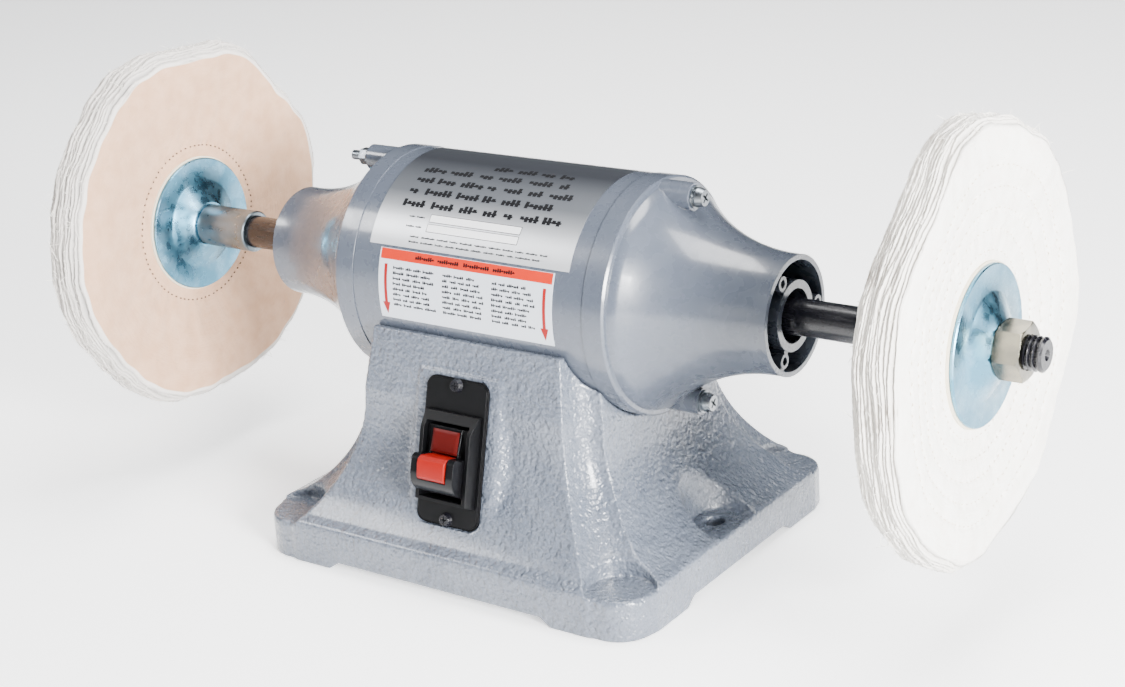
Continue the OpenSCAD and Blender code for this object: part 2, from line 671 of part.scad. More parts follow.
module switch_housing() color(black_plastic) {
  opening = rocker_half_w + run_gap;
  low = rocker_low - 2.5;
  high = rocker_high + 2;
  on_panel() difference() {
    union() {
      box_between([-body_half_w, body_low, -body_depth], [body_half_w, body_high, plate_t + 1]);
      translate([0, 0, plate_t]) hull() {
        translate([-body_half_w - bezel_over, body_low - bezel_over, 0])
          cube([2 * (body_half_w + bezel_over), body_high - body_low + 2 * bezel_over, 2]);
        translate([-body_half_w, body_low, 0])
          cube([2 * body_half_w, body_high - body_low - 7, bezel_h]);
      }
    }
    box_between([-opening, low, -pocket_depth], [opening, high, bezel_h + plate_t + cut]);
    translate([-body_half_w + 0.8, pivot_y, pivot_z]) rotate([0, 90, 0])
      cylinder(h = 2 * body_half_w - 1.6, r = pivot_r + pivot_gap);
    for (side = [-1, 1]) translate([side * lead_x, tab_mid, -body_depth]) cube([0.9, 6.2, 4], center = true);
  }
}

// outline of the rocker seen along its pivot, in panel coordinates
module rocker_outline() {
  polygon(concat(
    [[rocker_high, 6.4], [rocker_high - 5, 7.2], [-0.4, 8.6], [-0.4, 15.4], [-2.2, 17], [-9, 17.2]],
    [for (i = [0 : 8]) let (a = 90 + 90 * i / 8) [-9.6 + 10.4 * cos(a), 6.2 + 11 * sin(a)]],
    [[rocker_low, 4]],
    [for (i = [0 : 8]) let (a = 200 + 130 * i / 8) [pivot_y + 14.6 * cos(a), pivot_z + 7 * sin(a)]],
    [[rocker_high, 1.5]]));
}
module rocker() color([0.16, 0.03, 0.03]) on_panel() difference() {
  union() {
    translate([-rocker_half_w, 0, 0]) rotate([90, 0, 90]) linear_extrude(2 * rocker_half_w)
      rocker_outline();
    translate([-body_half_w + 1.2, pivot_y, pivot_z]) rotate([0, 90, 0])
      cylinder(h = 2 * body_half_w - 2.4, r = pivot_r);
  }
  // slot of the key
  box_between([-key_half_w - run_gap, key_low - run_gap, key_foot - run_gap],
              [key_half_w + run_gap, 1, key_out + 6]);
  // shallow shoulders beside the lens
  for (side = [-1, 1]) translate([side * (lens_half_w + 4), 8, 9.2]) cube([7.2, 18, 7.2], center = true);
}
module lock_key() color([0.75, 0.08, 0.05]) on_panel() {
  chamfer = 1.2;
  rotate([90, 0, 90]) translate([0, 0, -key_half_w]) linear_extrude(2 * key_half_w)
    polygon([[key_low, key_foot], [key_high, key_foot], [key_high, key_out - 2.6],
             [key_high - 1.5, key_out - 0.5], [key_high - 4, key_out],
             [key_low + chamfer, key_out - 0.6], [key_low, key_out - 0.6 - chamfer]]);
}
module switch_screws() color(dark_steel) on_panel() {
  for (side = [-1, 1]) translate([0, side * plate_screw_y, plate_t]) rotate([180, 0, 0])
    pan_screw(plate_screw_r, 9.5, 3.7, 2.3);
}
module switch_terminals() color([0.8, 0.7, 0.4]) on_panel() {
  for (side = [-1, 1]) box_between(
    [side * lead_x - 0.35, tab_mid - 3, -body_depth - tab_len],
    [side * lead_x + 0.35, tab_mid + 3, -body_depth + 1.5]);
}

// ======== inside the base ========
module run_capacitor() color([0.2, 0.22, 0.25]) {
  translate([-cap_len / 2, cap_y, cap_z]) rotate([0, 90, 0]) {
    cylinder(h = cap_len, r = cap_r);
    for (side = [-1, 1]) translate([side * 5, 0, cap_len - cut])
      box_between([-0.4, -3, 0], [0.4, 3, 8]);
  }
}
module capacitor_clamp() color(steel) {
  r_in = cap_r + joint_gap;
  difference() {
    union() {
      translate([-strap_w / 2, cap_y, cap_z]) rotate([0, 90, 0])
        cylinder(h = strap_w, r = r_in + strap_t);
      box_between([-strap_w / 2, cap_y, cover_z + cover_t],
                  [strap_w / 2, cap_y + clamp_tab_y + 6, cover_z + cover_t + strap_t]);
    }
    translate([-strap_w / 2 - cut, cap_y, cap_z]) rotate([0, 90, 0])
      cylinder(h = strap_w + 2 * cut, r = r_in);
    translate([0, cap_y + clamp_tab_y, cover_z]) cylinder(h = 6, r = small_screw_r + joint_gap);
  }
}
module clamp_screw() color(steel) {
  translate([0, cap_y + clamp_tab_y, cover_z + cover_t + strap_t]) rotate([180, 0, 0])
    pan_screw(small_screw_r, 4.6, 3.6, 2);
}
module ground_screw() color([0.2, 0.5, 0.25]) {
  translate([ground_x, ground_y, cavity_top]) pan_screw(small_screw_r, 4.5, 4, 2.2);
}
module cord_grommet() color(black_plastic) {
  inner_y = cover_half_d - cover_ledge - 3;
  flange_t = 3;
  translate([inlet_x, 0, inlet_z]) rotate([-90, 0, 0]) difference() {
    union() {
      translate([0, 0, inner_y]) cylinder(h = half_d - inner_y + 1, r = inlet_r - joint_gap);
      translate([0, 0, half_d]) cylinder(h = flange_t, r1 = inlet_flange_r, r2 = inlet_flange_r - 1.2);
    }
    translate([0, 0, inner_y - cut]) cylinder(h = half_d - inner_y + flange_t + 2 * cut, r = cord_r);
  }
}

// insulated leads from the winding down through the saddle to the switch
module motor_leads() color([0.75, 0.12, 0.1]) {
  turn_r = 8;
  tab_y = -panel_y + tab_mid * cos(90 - panel_tilt) + (body_depth + tab_len) * sin(90 - panel_tilt);
  tab_z = panel_z + tab_mid * sin(90 - panel_tilt) - (body_depth + tab_len) * cos(90 - panel_tilt);
  drop = axis_h - barrel_bore_r - tab_z - turn_r;
  tab_slant = lead_r * tan(panel_tilt);        // keeps the lead's square end off the slanted tab
  for (side = [-1, 1]) translate([side * lead_x, 0, tab_z]) {
    translate([0, 0, turn_r]) cylinder(h = drop, r = lead_r);
    translate([0, -turn_r, turn_r]) rotate([-90, 0, 90])
      rotate_extrude(angle = 90) translate([turn_r, 0]) circle(lead_r);
    translate([0, -turn_r, 0]) rotate([90, 0, 0]) cylinder(h = -tab_y - turn_r - tab_slant, r = lead_r);
  }
}

// ======== spindle ========
module shaft() color(dark_steel) {
  chamfer = 1.3;
  crests = floor((arbor_x - chamfer - 0.6 - thread_x0) / thread_pitch);
  first = arbor_x - chamfer - 0.3 - crests * thread_pitch;
  root = arbor_r - thread_depth;
  end_outline = concat(
    [[0, core_shaft_r], [bearing_x0, core_shaft_r], [bearing_x0, seat_r],
     [bearing_x1 + 1, seat_r], [bearing_x1 + 1, spindle_r], [step_x, spindle_r],
     [step_x, arbor_r], [first, arbor_r]],
    [for (i = [0 : crests - 1]) let (x = first + i * thread_pitch)
      each [[x + thread_pitch * 0.42, root], [x + thread_pitch * 0.5, root],
            [x + thread_pitch * 0.92, arbor_r], [x + thread_pitch, arbor_r]]],
    [[arbor_x - chamfer + 0.3, arbor_r], [arbor_x, arbor_r - chamfer], [arbor_x, 2.6],
     [arbor_x - 3.5, 0.6], [arbor_x - 3.5, 0]]);
  revolve_x(concat(end_outline, [for (p = reversed(end_outline)) if (p[0] > 0) [-p[0], p[1]]]));
}
module rotor_core() color(steel) ring_x(-half_stack + 1, half_stack - 1, rotor_r, core_shaft_r + 0.01);
module rotor_end_rings() color([0.75, 0.76, 0.78]) {
  ring_h = 7;
  vane_h = 8;
  for (side = [0, 1]) mirror([side, 0, 0]) {
    ring_x(half_stack - 1, half_stack + ring_h, rotor_r - 2, rotor_r - 11);
    for (i = [0 : 7]) along_x() rotate([0, 0, i * 45])
      translate([rotor_r - 9.5, -1, half_stack + ring_h - 0.5]) cube([6, 2, vane_h]);
  }
}
module sleeve() revolve_x([
  [sleeve_x0, sleeve_step_r], [sleeve_x0, sleeve_d / 2 - 0.6], [sleeve_x0 + 0.6, sleeve_d / 2],
  [inner_dish_x - 0.6, sleeve_d / 2], [inner_dish_x, sleeve_d / 2 - 0.6], [inner_dish_x, sleeve_bore_r],
  [step_x + joint_gap, sleeve_bore_r], [step_x + joint_gap, sleeve_step_r]]);
module sleeve_right() color(steel) sleeve();
module sleeve_left() color(steel) left_of() sleeve();

// pressed flange: face is where its rim meets the pad, out is the way that its dish stands
module flange(face, out) {
  rim = flange_d / 2;
  t = flange_t;
  h = dish_h;
  revolve_x([for (p = [
    [h, flange_bore_r], [h, dish_r0 - 0.4], [0.6, dish_r1 - 1.2], [0, dish_r1], [0, rim - 0.5],
    [0.5, rim], [t - 0.5, rim], [t, rim - 0.5], [t, dish_r1 + 0.8], [t + 0.6, dish_r1 - 0.2],
    [h + t - 0.6, dish_r0 + 0.9], [h + t, dish_r0], [h + t, flange_bore_r]])
    [face + out * p[0], p[1]]]);
}
module inner_flange_right() color(zinc) flange(inner_face, -1);
module inner_flange_left() color(zinc) left_of() flange(inner_face, -1);
module outer_flange_right() color(zinc) flange(outer_face, 1);
module outer_flange_left() color(zinc) left_of() flange(outer_face, 1);
module hub_pads() {
  pad_rim = flange_d / 2 + 0.8;
  ring_x(inner_face, inner_face + pad_t, pad_rim, flange_bore_r);
  ring_x(outer_face - pad_t, outer_face, pad_rim, flange_bore_r);
}
module hub_pads_right() color([0.8, 0.74, 0.6]) hub_pads();
module hub_pads_left() color([0.8, 0.74, 0.6]) left_of() hub_pads();

// cloth wheel: thin where it is clamped, fluffed out towards its rim
module buff() {
  rim = wheel_d / 2;
  clamp = flange_d / 2 + 2;
  h0 = wheel_hub_t / 2;
  h1 = wheel_rim_t / 2;
  swell = [for (i = [0 : 7]) let (s = i / 7)
    [h0 + (h1 - h0) * (1 - cos(180 * s)) / 2, clamp + (rim - 9 - clamp) * s]];
  edge = [for (i = [1 : 4]) let (a = 90 * i / 4) [h1 - 6 * (1 - cos(a)), rim - 9 + 9 * sin(a)]];
  side = concat([[h0, flange_bore_r]], swell, edge);
  revolve_x(concat([for (p = side) [wheel_x + p[0], p[1]]],
                   [for (p = reversed(side)) [wheel_x - p[0], p[1]]]));
}
module wheel_right() color(cloth) buff();
module wheel_left() color([0.93, 0.85, 0.76]) left_of() buff();

module arbor_nut() {
  corner = nut_af / 2 / cos(30);
  difference() {
    intersection() {
      along_x() translate([0, 0, outer_dish_x]) rotate([0, 0, 7]) cylinder(h = nut_h, r = corner, $fn = 6);
      revolve_x([[outer_dish_x, 0], [outer_dish_x, corner - 1.6], [outer_dish_x + 1, corner + 0.1],
                 [nut_x1 - 1, corner + 0.1], [nut_x1, corner - 1.6], [nut_x1, 0]]);
    }
    disc_x(outer_dish_x - cut, nut_x1 + cut, arbor_r + joint_gap / 2);
  }
}
module nut_right() color(zinc) arbor_nut();
module nut_left() color(zinc) left_of() arbor_nut();

base_casting();
bottom_cover();
bottom_cover_screws();
motor_mount_bolts();
motor_barrel();
bell_left();
bell_right();
stator_core();
stator_winding();
bearing_outer_left();
bearing_outer_right();
wave_washer();
through_bolts();
through_bolt_washers();
through_bolt_nuts();
data_plate();
info_label();
switch_plate();
switch_housing();
switch_screws();
switch_terminals();
run_capacitor();
capacitor_clamp();
clamp_screw();
ground_screw();
cord_grommet();
motor_leads();
shaft();
rotor_core();
rotor_end_rings();
bearing_inner_left();
bearing_inner_right();
sleeve_left();
sleeve_right();
inner_flange_left();
inner_flange_right();
hub_pads_left();
hub_pads_right();
wheel_left();
wheel_right();
outer_flange_left();
outer_flange_right();
nut_left();
nut_right();
bearing_balls_left();
bearing_balls_right();
bearing_cage_left();
bearing_cage_right();
rocker();
lock_key();
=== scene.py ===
"""Looks of the bench buffer: paint, metal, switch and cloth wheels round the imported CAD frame."""

import math

import bpy
import numpy as np
import openvdb
from mathutils import Matrix, Vector


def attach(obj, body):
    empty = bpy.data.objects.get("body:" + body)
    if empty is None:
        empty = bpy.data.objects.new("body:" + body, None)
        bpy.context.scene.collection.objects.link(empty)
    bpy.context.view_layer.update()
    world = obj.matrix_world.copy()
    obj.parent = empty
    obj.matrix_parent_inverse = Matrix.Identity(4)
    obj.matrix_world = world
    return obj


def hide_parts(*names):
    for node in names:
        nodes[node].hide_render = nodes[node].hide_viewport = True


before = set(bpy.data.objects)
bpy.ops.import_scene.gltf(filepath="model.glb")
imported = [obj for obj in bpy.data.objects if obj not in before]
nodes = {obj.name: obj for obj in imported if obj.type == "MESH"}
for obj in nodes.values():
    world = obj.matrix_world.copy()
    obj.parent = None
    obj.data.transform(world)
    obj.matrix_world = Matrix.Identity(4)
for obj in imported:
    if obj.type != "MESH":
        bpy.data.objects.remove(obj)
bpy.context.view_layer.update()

# ---------------------------------------------------------------- sizes, in millimetres
AXIS_H = 136.0                                   # spindle axis above the bench
BARREL_R = 58.0
NOSE_BORE_R = 26.4
# base plate, with its feet, bench bolt holes, scoops over the bolts, and round pads at its corners
HALF_W, HALF_D, BASE_T = 114.0, 97.0, 22.0
CORNER_R = 18.0
FOOT_H, FOOT_X, FOOT_Y = 4.0, 68.0, 50.0         # the gaps between the feet reach FOOT_X and FOOT_Y
BOLT_X, BOLT_R = 100.0, 5.5
SCOOP_X, SCOOP_R, SCOOP_LEAN = 107.0, 18.0, 7 / 34
PAD_X, PAD_Y, PAD_R, PAD_DEPTH = 100.5, 85.0, 17.0, 1.5
# pedestal: half sizes at its top, where its corner flutes begin there, and its hollow
SADDLE_R, LIP_Z, LIP_T = 58.6, 120.0, 3.6
TOP_X, RIDGE_X, RIDGE_Y = 68.1, 56.4, 46.1
EDGE_GAP, FLUTE_X, FLUTE_Y = 0.4, 26.0, 21.0     # how far inside the plate's edge the walls and flutes end
SIDE_FLARE, FRONT_FLARE, CORNER_FLARE, FRONT_TAPER = 0.62, 0.68, 0.54, 0.22
WALL_T, ROOF_Z = 7.0, 70.4
COVER_X, COVER_Y, COVER_R, COVER_DEPTH = 91.0, 83.5, 10.0, 6.0
COVER_LEDGE = 7.5
POST_X, POST_Y, POST_R = 79.0, 71.5, 7.0         # posts for the cover screws
INLET_X, INLET_Y, INLET_Z, INLET_R = 46.0, 60.0, 13.0, 6.4
# switch panel: its middle, its boss, the seat of the switch plate and the window behind it
PANEL_Y, PANEL_Z, PANEL_TILT = 74.1551, 67.7, math.radians(14.9)
BOSS_X, BOSS_UP, BOSS_FLANK, BOSS_END, BOSS_FOOT = 24.25, 38.2, 1.3, 0.8, 25.0
SEAT_X, SEAT_UP, SEAT_R, SEAT_DEPTH = 19.15, 36.9, 6.4, 0.3
WINDOW_X, WINDOW_TOP, WINDOW_LOW, WINDOW_DEPTH = 15.5, 19.0, 24.5, 44.0
LENS_X, LENS_LOW, LENS_HIGH = 8.0, 0.4, 11.6
# cloth wheels
WHEEL_X, WHEEL_R = 235.5, 101.6
FLANGE_R, BORE_R, HUB_HALF = 36.75, 9.0, 5.0
FACE_END, PLY_R, PLIES, RIM_DROP = 94.5, 99.2, 15, 4.6
ROWS = (42, 51.3, 60.6, 70, 79.4)                # radii of the sewn rows
LEFT_ROWS = (44,)

# print on the barrel: places along x, and angles in degrees up from the front
DATA_X, DATA_LINES = (-47, 52), ((0, 46.2), (0, 53.6), (0, 61.0), (0, 68.4), (38, 76.0))   # indent, angle
NOTE_X, NOTE_ANGLES = (-36, 47), (28.2, 30.8)
BOX_X, BOX_ANGLES, BOX_TALL, BOX_LINE = (-27, 27), (39.6, 34.6), 3.6, 0.3
INFO_X, BAND_ANGLES = 51.3, (18.8, 24.0)
INFO_COLUMNS, INFO_LINES, INFO_TOP, INFO_PITCH = ((-43, -16), (-12.5, 13.5), (17, 43)), 8, 14.4, 2.6
ARROW_X, ARROW_LOW, ARROW_TOP, ARROW_HALF = 47.5, -2.5, 16.5, 0.9
HEAD_HALF, HEAD_STEPS, HEAD_STEP = 2.2, 12, 0.5

# camera and lights, in metres and degrees
CAMERA_TURN = (36.887, 19.642, -4.081)           # azimuth, elevation, roll
CAMERA_PLACE = (0.59887, -0.81245, 0.46353)
LENS_MM, SHIFT = 67.75, (0.0379, -0.0055)
SOFTBOXES = (                                    # name, place, aim, size, watts
    ("top", (0.1, 0.25, 1.7), (0, 0, 0.1), (1.3, 0.8), 62),
    ("key", (1.5, -0.72, 0.5), (0, 0, 0.12), (0.45, 0.6), 150),
    ("right", (1.7, 0.5, 0.8), (0.1, 0, 0.12), (0.6, 0.8), 25),
    ("left", (-1.2, -0.9, 1.2), (0, 0, 0.12), (0.4, 0.4), 16),
    ("fill", (-0.3, -2.2, 0.6), (0, 0, 0.1), (1.4, 0.8), 7),
)


# ---------------------------------------------------------------- camera, light and floor
def add_camera():
    """Camera in front, to the right and a little above, rolled slightly."""
    azimuth, elevation, roll = (math.radians(a) for a in CAMERA_TURN)
    back = Vector((math.sin(azimuth) * math.cos(elevation),
                   -math.cos(azimuth) * math.cos(elevation),
                   math.sin(elevation)))
    right = Vector((math.cos(azimuth), math.sin(azimuth), 0))
    up = back.cross(right)
    across = math.cos(roll) * right + math.sin(roll) * up
    upward = math.cos(roll) * up - math.sin(roll) * right
    data = bpy.data.cameras.new("camera")
    data.sensor_width = 36
    data.lens = LENS_MM
    data.shift_x, data.shift_y = SHIFT
    data.clip_start, data.clip_end = 0.05, 30
    camera = bpy.data.objects.new("camera", data)
    turn = Matrix((across, upward, back)).transposed().to_4x4()
    camera.matrix_world = Matrix.Translation(CAMERA_PLACE) @ turn
    bpy.context.scene.collection.objects.link(camera)
    bpy.context.scene.camera = camera


def add_softbox(name, place, aim, size, watts):
    data = bpy.data.lights.new(name, "AREA")
    data.shape = "RECTANGLE"
    data.size, data.size_y = size
    data.energy = watts
    lamp = bpy.data.objects.new(name, data)
    lamp.location = place
    lamp.rotation_euler = (Vector(aim) - Vector(place)).to_track_quat("-Z", "Y").to_euler()
    bpy.context.scene.collection.objects.link(lamp)


def add_studio():
    """White backdrop, a dim surround for the metal to reflect, five softboxes and a pale floor."""
    world = bpy.data.worlds.new("studio")
    world.use_nodes = True
    tree = world.node_tree
    surround = tree.nodes["Background"]
    place, split = tree.nodes.new("ShaderNodeTexCoord"), tree.nodes.new("ShaderNodeSeparateXYZ")
    ramp = tree.nodes.new("ShaderNodeValToRGB")
    tree.links.new(place.outputs["Generated"], split.inputs["Vector"])
    tree.links.new(split.outputs["Z"], ramp.inputs["Fac"])
    tree.links.new(ramp.outputs["Color"], surround.inputs["Color"])
    ramp.color_ramp.elements[0].color = (0.05, 0.055, 0.06, 1)
    ramp.color_ramp.elements[1].color = (0.62, 0.66, 0.72, 1)
    surround.inputs["Strength"].default_value = 0.45
    backdrop = tree.nodes.new("ShaderNodeBackground")
    backdrop.inputs["Color"].default_value = (1, 1, 1, 1)
    backdrop.inputs["Strength"].default_value = 40
    rays, mix = tree.nodes.new("ShaderNodeLightPath"), tree.nodes.new("ShaderNodeMixShader")
    tree.links.new(rays.outputs["Is Camera Ray"], mix.inputs["Fac"])
    tree.links.new(surround.outputs[0], mix.inputs[1])
    tree.links.new(backdrop.outputs[0], mix.inputs[2])
    tree.links.new(mix.outputs[0], tree.nodes["World Output"].inputs["Surface"])
    bpy.context.scene.world = world
    for softbox in SOFTBOXES:
        add_softbox(*softbox)
    bpy.ops.mesh.primitive_plane_add(size=9)
    floor = bpy.context.object
    floor.name = "floor"
    floor.data.materials.append(surface("floor_paint", (0.95, 0.95, 0.95), 0.8,
                                       emission_color=(1, 1, 1, 1), emission_strength=1.0))


# ---------------------------------------------------------------- materials
class Look:
    """A Principled material built step by step; texture sizes are in millimetres."""

    def __init__(self, name, colour, rough, metal=0.0, **extra):
        self.material = bpy.data.materials.new(name)
        self.material.use_nodes = True
        self.tree = self.material.node_tree
        self.shader = self.tree.nodes["Principled BSDF"]
        self.colour_out = None
        self.normal_out = None
        self.place = None
        self.set("Base Color", (*colour, 1))
        self.set("Roughness", rough)
        self.set("Metallic", metal)
        for key, value in extra.items():
            self.set(key.replace("_", " ").title().replace("Ior", "IOR"), value)

    def set(self, socket, value):
        self.shader.inputs[socket].default_value = value

    def node(self, kind, **inputs):
        made = self.tree.nodes.new("ShaderNode" + kind)
        for key, value in inputs.items():
            made.inputs[key].default_value = value
        return made

    def link(self, out, into):
        self.tree.links.new(out, into)

    def coords(self, squeeze=(1, 1, 1)):
        """Object coordinates in millimetres, divided by squeeze along each axis."""
        if self.place is None:
            self.place = self.node("TexCoord").outputs["Object"]
        mapping = self.node("Mapping")
        mapping.inputs["Scale"].default_value = [1000 / s for s in squeeze]
        self.link(self.place, mapping.inputs["Vector"])
        return mapping.outputs["Vector"]

    def noise(self, size, detail=3.0, squeeze=(1, 1, 1)):
        made = self.node("TexNoise", Scale=1.0 / size, Detail=detail)
        self.link(self.coords(squeeze), made.inputs["Vector"])
        return made.outputs["Fac"]

    def ramp(self, fac, stops):
        made = self.node("ValToRGB")
        steps = made.color_ramp.elements
        while len(steps) < len(stops):
            steps.new(0.5)
        for step, (at, colour) in zip(steps, stops):
            step.position = at
            step.color = (*colour, 1)
        self.link(fac, made.inputs["Fac"])
        return made.outputs["Color"]

    def tint(self, fac, low, high, span=(0.35, 0.65)):
        """Base colour that runs from low to high with fac."""
        self.colour_out = self.ramp(fac, [(span[0], low), (span[1], high)])
        self.link(self.colour_out, self.shader.inputs["Base Color"])

    def rough_from(self, fac, low, high, span=(0.3, 0.7)):
        made = self.node("MapRange")
        made.inputs["From Min"].default_value, made.inputs["From Max"].default_value = span
        made.inputs["To Min"].default_value, made.inputs["To Max"].default_value = low, high
        self.link(fac, made.inputs["Value"])
        self.link(made.outputs["Result"], self.shader.inputs["Roughness"])

    def round_edges(self, radius):
        made = self.node("Bevel", Radius=radius / 1000)
        made.samples = 4
        self.normal_out = made.outputs["Normal"]
        self.link(self.normal_out, self.shader.inputs["Normal"])

    def cover(self, fac, under, colour):
        """The colour under, an output of another node, covered by a fixed colour where fac is 1."""
        mix = self.node("Mix")
        mix.data_type = "RGBA"
        first, second = (i for i in mix.inputs if i.type == "RGBA")
        self.link(fac, mix.inputs["Factor"])
        self.link(under, first)
        second.default_value = (*colour, 1)
        return next(o for o in mix.outputs if o.type == "RGBA")

    def bump(self, height, depth, strength=1.0):
        """Relief of the given depth, in millimetres, over whatever relief there is already."""
        made = self.node("Bump", Strength=strength, Distance=depth / 1000)
        self.link(height, made.inputs["Height"])
        if self.normal_out is not None:
            self.link(self.normal_out, made.inputs["Normal"])
        self.normal_out = made.outputs["Normal"]
        self.link(self.normal_out, self.shader.inputs["Normal"])


def surface(name, colour, rough, metal=0.0, edge=0.0, **extra):
    """Even material of one colour, with its edges softened where edge is set."""
    look = Look(name, colour, rough, metal, **extra)
    if edge:
        look.round_edges(edge)
    return look.material


def base_paint():
    """Glossy light grey enamel over a rough sand casting."""
    look = Look("base_enamel", (0.09, 0.104, 0.132), 0.34, coat_weight=0.5, coat_roughness=0.14)
    look.tint(look.noise(18, 4), (0.080, 0.094, 0.122), (0.098, 0.113, 0.142))
    look.rough_from(look.noise(3, 2), 0.22, 0.36)
    look.bump(look.noise(7, 2), 1.6, 0.7)
    look.bump(look.noise(2.3, 1.2), 1.3, 1.0)
    return look.material


def motor_paint():
    """The base's grey, sprayed on smooth sheet and finer castings, darkened as painted shade, most inside
    the noses.
    """
    # painted shade: the same paint as base_enamel, given a darker base colour all over the motor
    look = Look("motor_enamel", (0.062, 0.072, 0.094), 0.30, coat_weight=0.45, coat_roughness=0.10)
    look.tint(look.noise(40, 3), (0.058, 0.068, 0.090), (0.066, 0.077, 0.099))
    # painted shade: near black inside the nose bores, closer than NOSE_BORE_R to the spindle
    inside = from_spindle(look, NOSE_BORE_R, NOSE_BORE_R - 0.3)
    shade = look.cover(inside, look.colour_out, (0.022, 0.026, 0.034))
    look.link(shade, look.shader.inputs["Base Color"])
    look.rough_from(look.noise(6, 3), 0.23, 0.33)
    look.round_edges(0.6)
    look.bump(look.noise(1.6, 2), 0.05, 0.5)
    return look.material


def zinc_plate(name, cool, warm, rough=0.24, edge=0.4):
    """Passivated zinc: cloudy tint, faint fine relief."""
    look = Look(name, cool, rough, 1.0)
    look.tint(look.noise(14, 3), cool, warm, (0.42, 0.62))
    look.rough_from(look.noise(5, 4), rough * 0.75, rough * 1.5)
    look.round_edges(edge)
    look.bump(look.noise(0.5, 2), 0.03, 0.4)
    return look.material


def streaked_metal(name, colour, rough, edge=0.3, metal=0.85):
    """Metal with soft edges, shinier and duller in streaks along the spindle."""
    look = Look(name, colour, rough, metal)
    look.rough_from(look.noise(2.2, 3, (6, 1, 1)), rough * 0.7, rough * 1.5)
    look.round_edges(edge)
    return look.material


def moulded(name, colour, rough, edge=0.5, grain=0.0, **extra):
    """Plastic with soft edges and, where grain is set, a fine relief."""
    look = Look(name, colour, rough, **extra)
    look.round_edges(edge)
    if grain:
        look.bump(look.noise(0.5, 2), grain, 0.5)
    return look.material


def from_axis(look):
    """Depth (y) and height over the spindle axis, in millimetres."""
    split, height = look.node("SeparateXYZ"), look.node("Math")
    look.link(look.coords(), split.inputs["Vector"])
    height.operation, height.inputs[1].default_value = "SUBTRACT", AXIS_H
    look.link(split.outputs["Z"], height.inputs[0])
    return split.outputs["Y"], height.outputs[0]


def around_spindle(look):
    """Angle round the spindle, in degrees up from the front."""
    depth, height = from_axis(look)
    front, angle, degrees = (look.node("Math") for _ in range(3))
    front.operation, front.inputs[1].default_value = "MULTIPLY", -1.0
    angle.operation, degrees.operation = "ARCTAN2", "DEGREES"
    look.link(depth, front.inputs[0])
    look.link(height, angle.inputs[0])
    look.link(front.outputs[0], angle.inputs[1])
    look.link(angle.outputs[0], degrees.inputs[0])
    return degrees.outputs[0]


def from_spindle(look, zero, one):
    """Runs from 0 to 1 between two distances from the spindle axis, in millimetres."""
    depth, height = from_axis(look)
    flat, reach, span = look.node("CombineXYZ"), look.node("VectorMath"), look.node("MapRange")
    reach.operation = "LENGTH"
    look.link(depth, flat.inputs["Y"])
    look.link(height, flat.inputs["Z"])
    look.link(flat.outputs[0], reach.inputs[0])
    span.inputs["From Min"].default_value, span.inputs["From Max"].default_value = zero, one
    look.link(reach.outputs["Value"], span.inputs["Value"])
    return span.outputs["Result"]


def foil():
    """Silver foil with a painted reflection that darkens towards the top of the barrel."""
    look = Look("silver_foil", (0.6, 0.6, 0.61), 0.34, 0.55)
    painted_reflection = look.node("MapRange")
    painted_reflection.inputs["From Min"].default_value, painted_reflection.inputs["From Max"].default_value = 25.5, 100.0
    look.link(around_spindle(look), painted_reflection.inputs["Value"])
    # painted reflection: colour by angle round the barrel, brightest near 25 degrees up from the front
    colour = look.ramp(painted_reflection.outputs["Result"], [
        (0.0, (0.50, 0.51, 0.53)), (0.20, (0.42, 0.43, 0.45)), (0.40, (0.13, 0.14, 0.155)),
        (0.75, (0.035, 0.038, 0.046)), (1.0, (0.06, 0.065, 0.075))])
    look.link(colour, look.shader.inputs["Base Color"])
    look.bump(look.noise(0.7, 2, (12, 1, 1)), 0.02, 0.4)
    return look.material


def cloth(name, low, high, edge, cleft_shade, streak, weave=0.55):
    """Cotton: woven relief and specks on the faces, streaky dirty ply ends at the rim.

    The wheels' attributes rim, depth and lay say where the rim is, how far into a cleft a point lies, and
    how the plies lie. The clefts are darkened by depth as painted shade.
    """
    look = Look(name, high, 0.92, sheen_weight=0.2, sheen_roughness=0.5)
    shade = look.ramp(look.noise(9, 5), [(0.35, low), (0.65, high)])
    speck = look.ramp(look.noise(1.3, 1), [(0.70, (0, 0, 0)), (0.78, (0.45, 0.45, 0.45))])
    rim, lay, depth = (look.node("Attribute") for _ in range(3))
    rim.attribute_name, lay.attribute_name, depth.attribute_name = "rim", "lay", "depth"
    stretch = look.node("Mapping")
    stretch.inputs["Scale"].default_value = (1 / 16, 1 / 1.1, 1 / 1.6)
    fibre = look.node("TexNoise", Scale=1.0, Detail=5.0, Distortion=0.4)
    look.link(lay.outputs["Vector"], stretch.inputs["Vector"])
    look.link(stretch.outputs["Vector"], fibre.inputs["Vector"])
    band = look.ramp(fibre.outputs["Fac"], [(0.38, (0.7, 0.7, 0.7)), (0.54, (0, 0, 0))])
    stain = look.ramp(look.noise(24, 4), [(0.56, (0.15, 0.15, 0.15)), (0.68, (1, 1, 1))])
    masked, dirt = look.node("Math"), look.node("Math")
    masked.operation = dirt.operation = "MULTIPLY"
    look.link(band, dirt.inputs[0])
    look.link(stain, dirt.inputs[1])
    look.link(dirt.outputs[0], masked.inputs[0])
    look.link(rim.outputs["Fac"], masked.inputs[1])
    # the depth layer paints shade into the clefts between the plies
    layers = ((speck, streak), (rim.outputs["Fac"], edge), (masked.outputs[0], streak),
              (depth.outputs["Fac"], cleft_shade))
    for factor, colour in layers:
        shade = look.cover(factor, shade, colour)
    look.link(shade, look.shader.inputs["Base Color"])
    for squeeze in ((1, 1, 6), (1, 6, 1)):
        look.bump(look.noise(weave, 1, squeeze), 0.10, 0.5)
    look.bump(look.noise(2.4, 4), 0.35, 0.5)
    look.bump(fibre.outputs["Fac"], 0.9, 0.5)
    return look.material


add_camera()
add_studio()

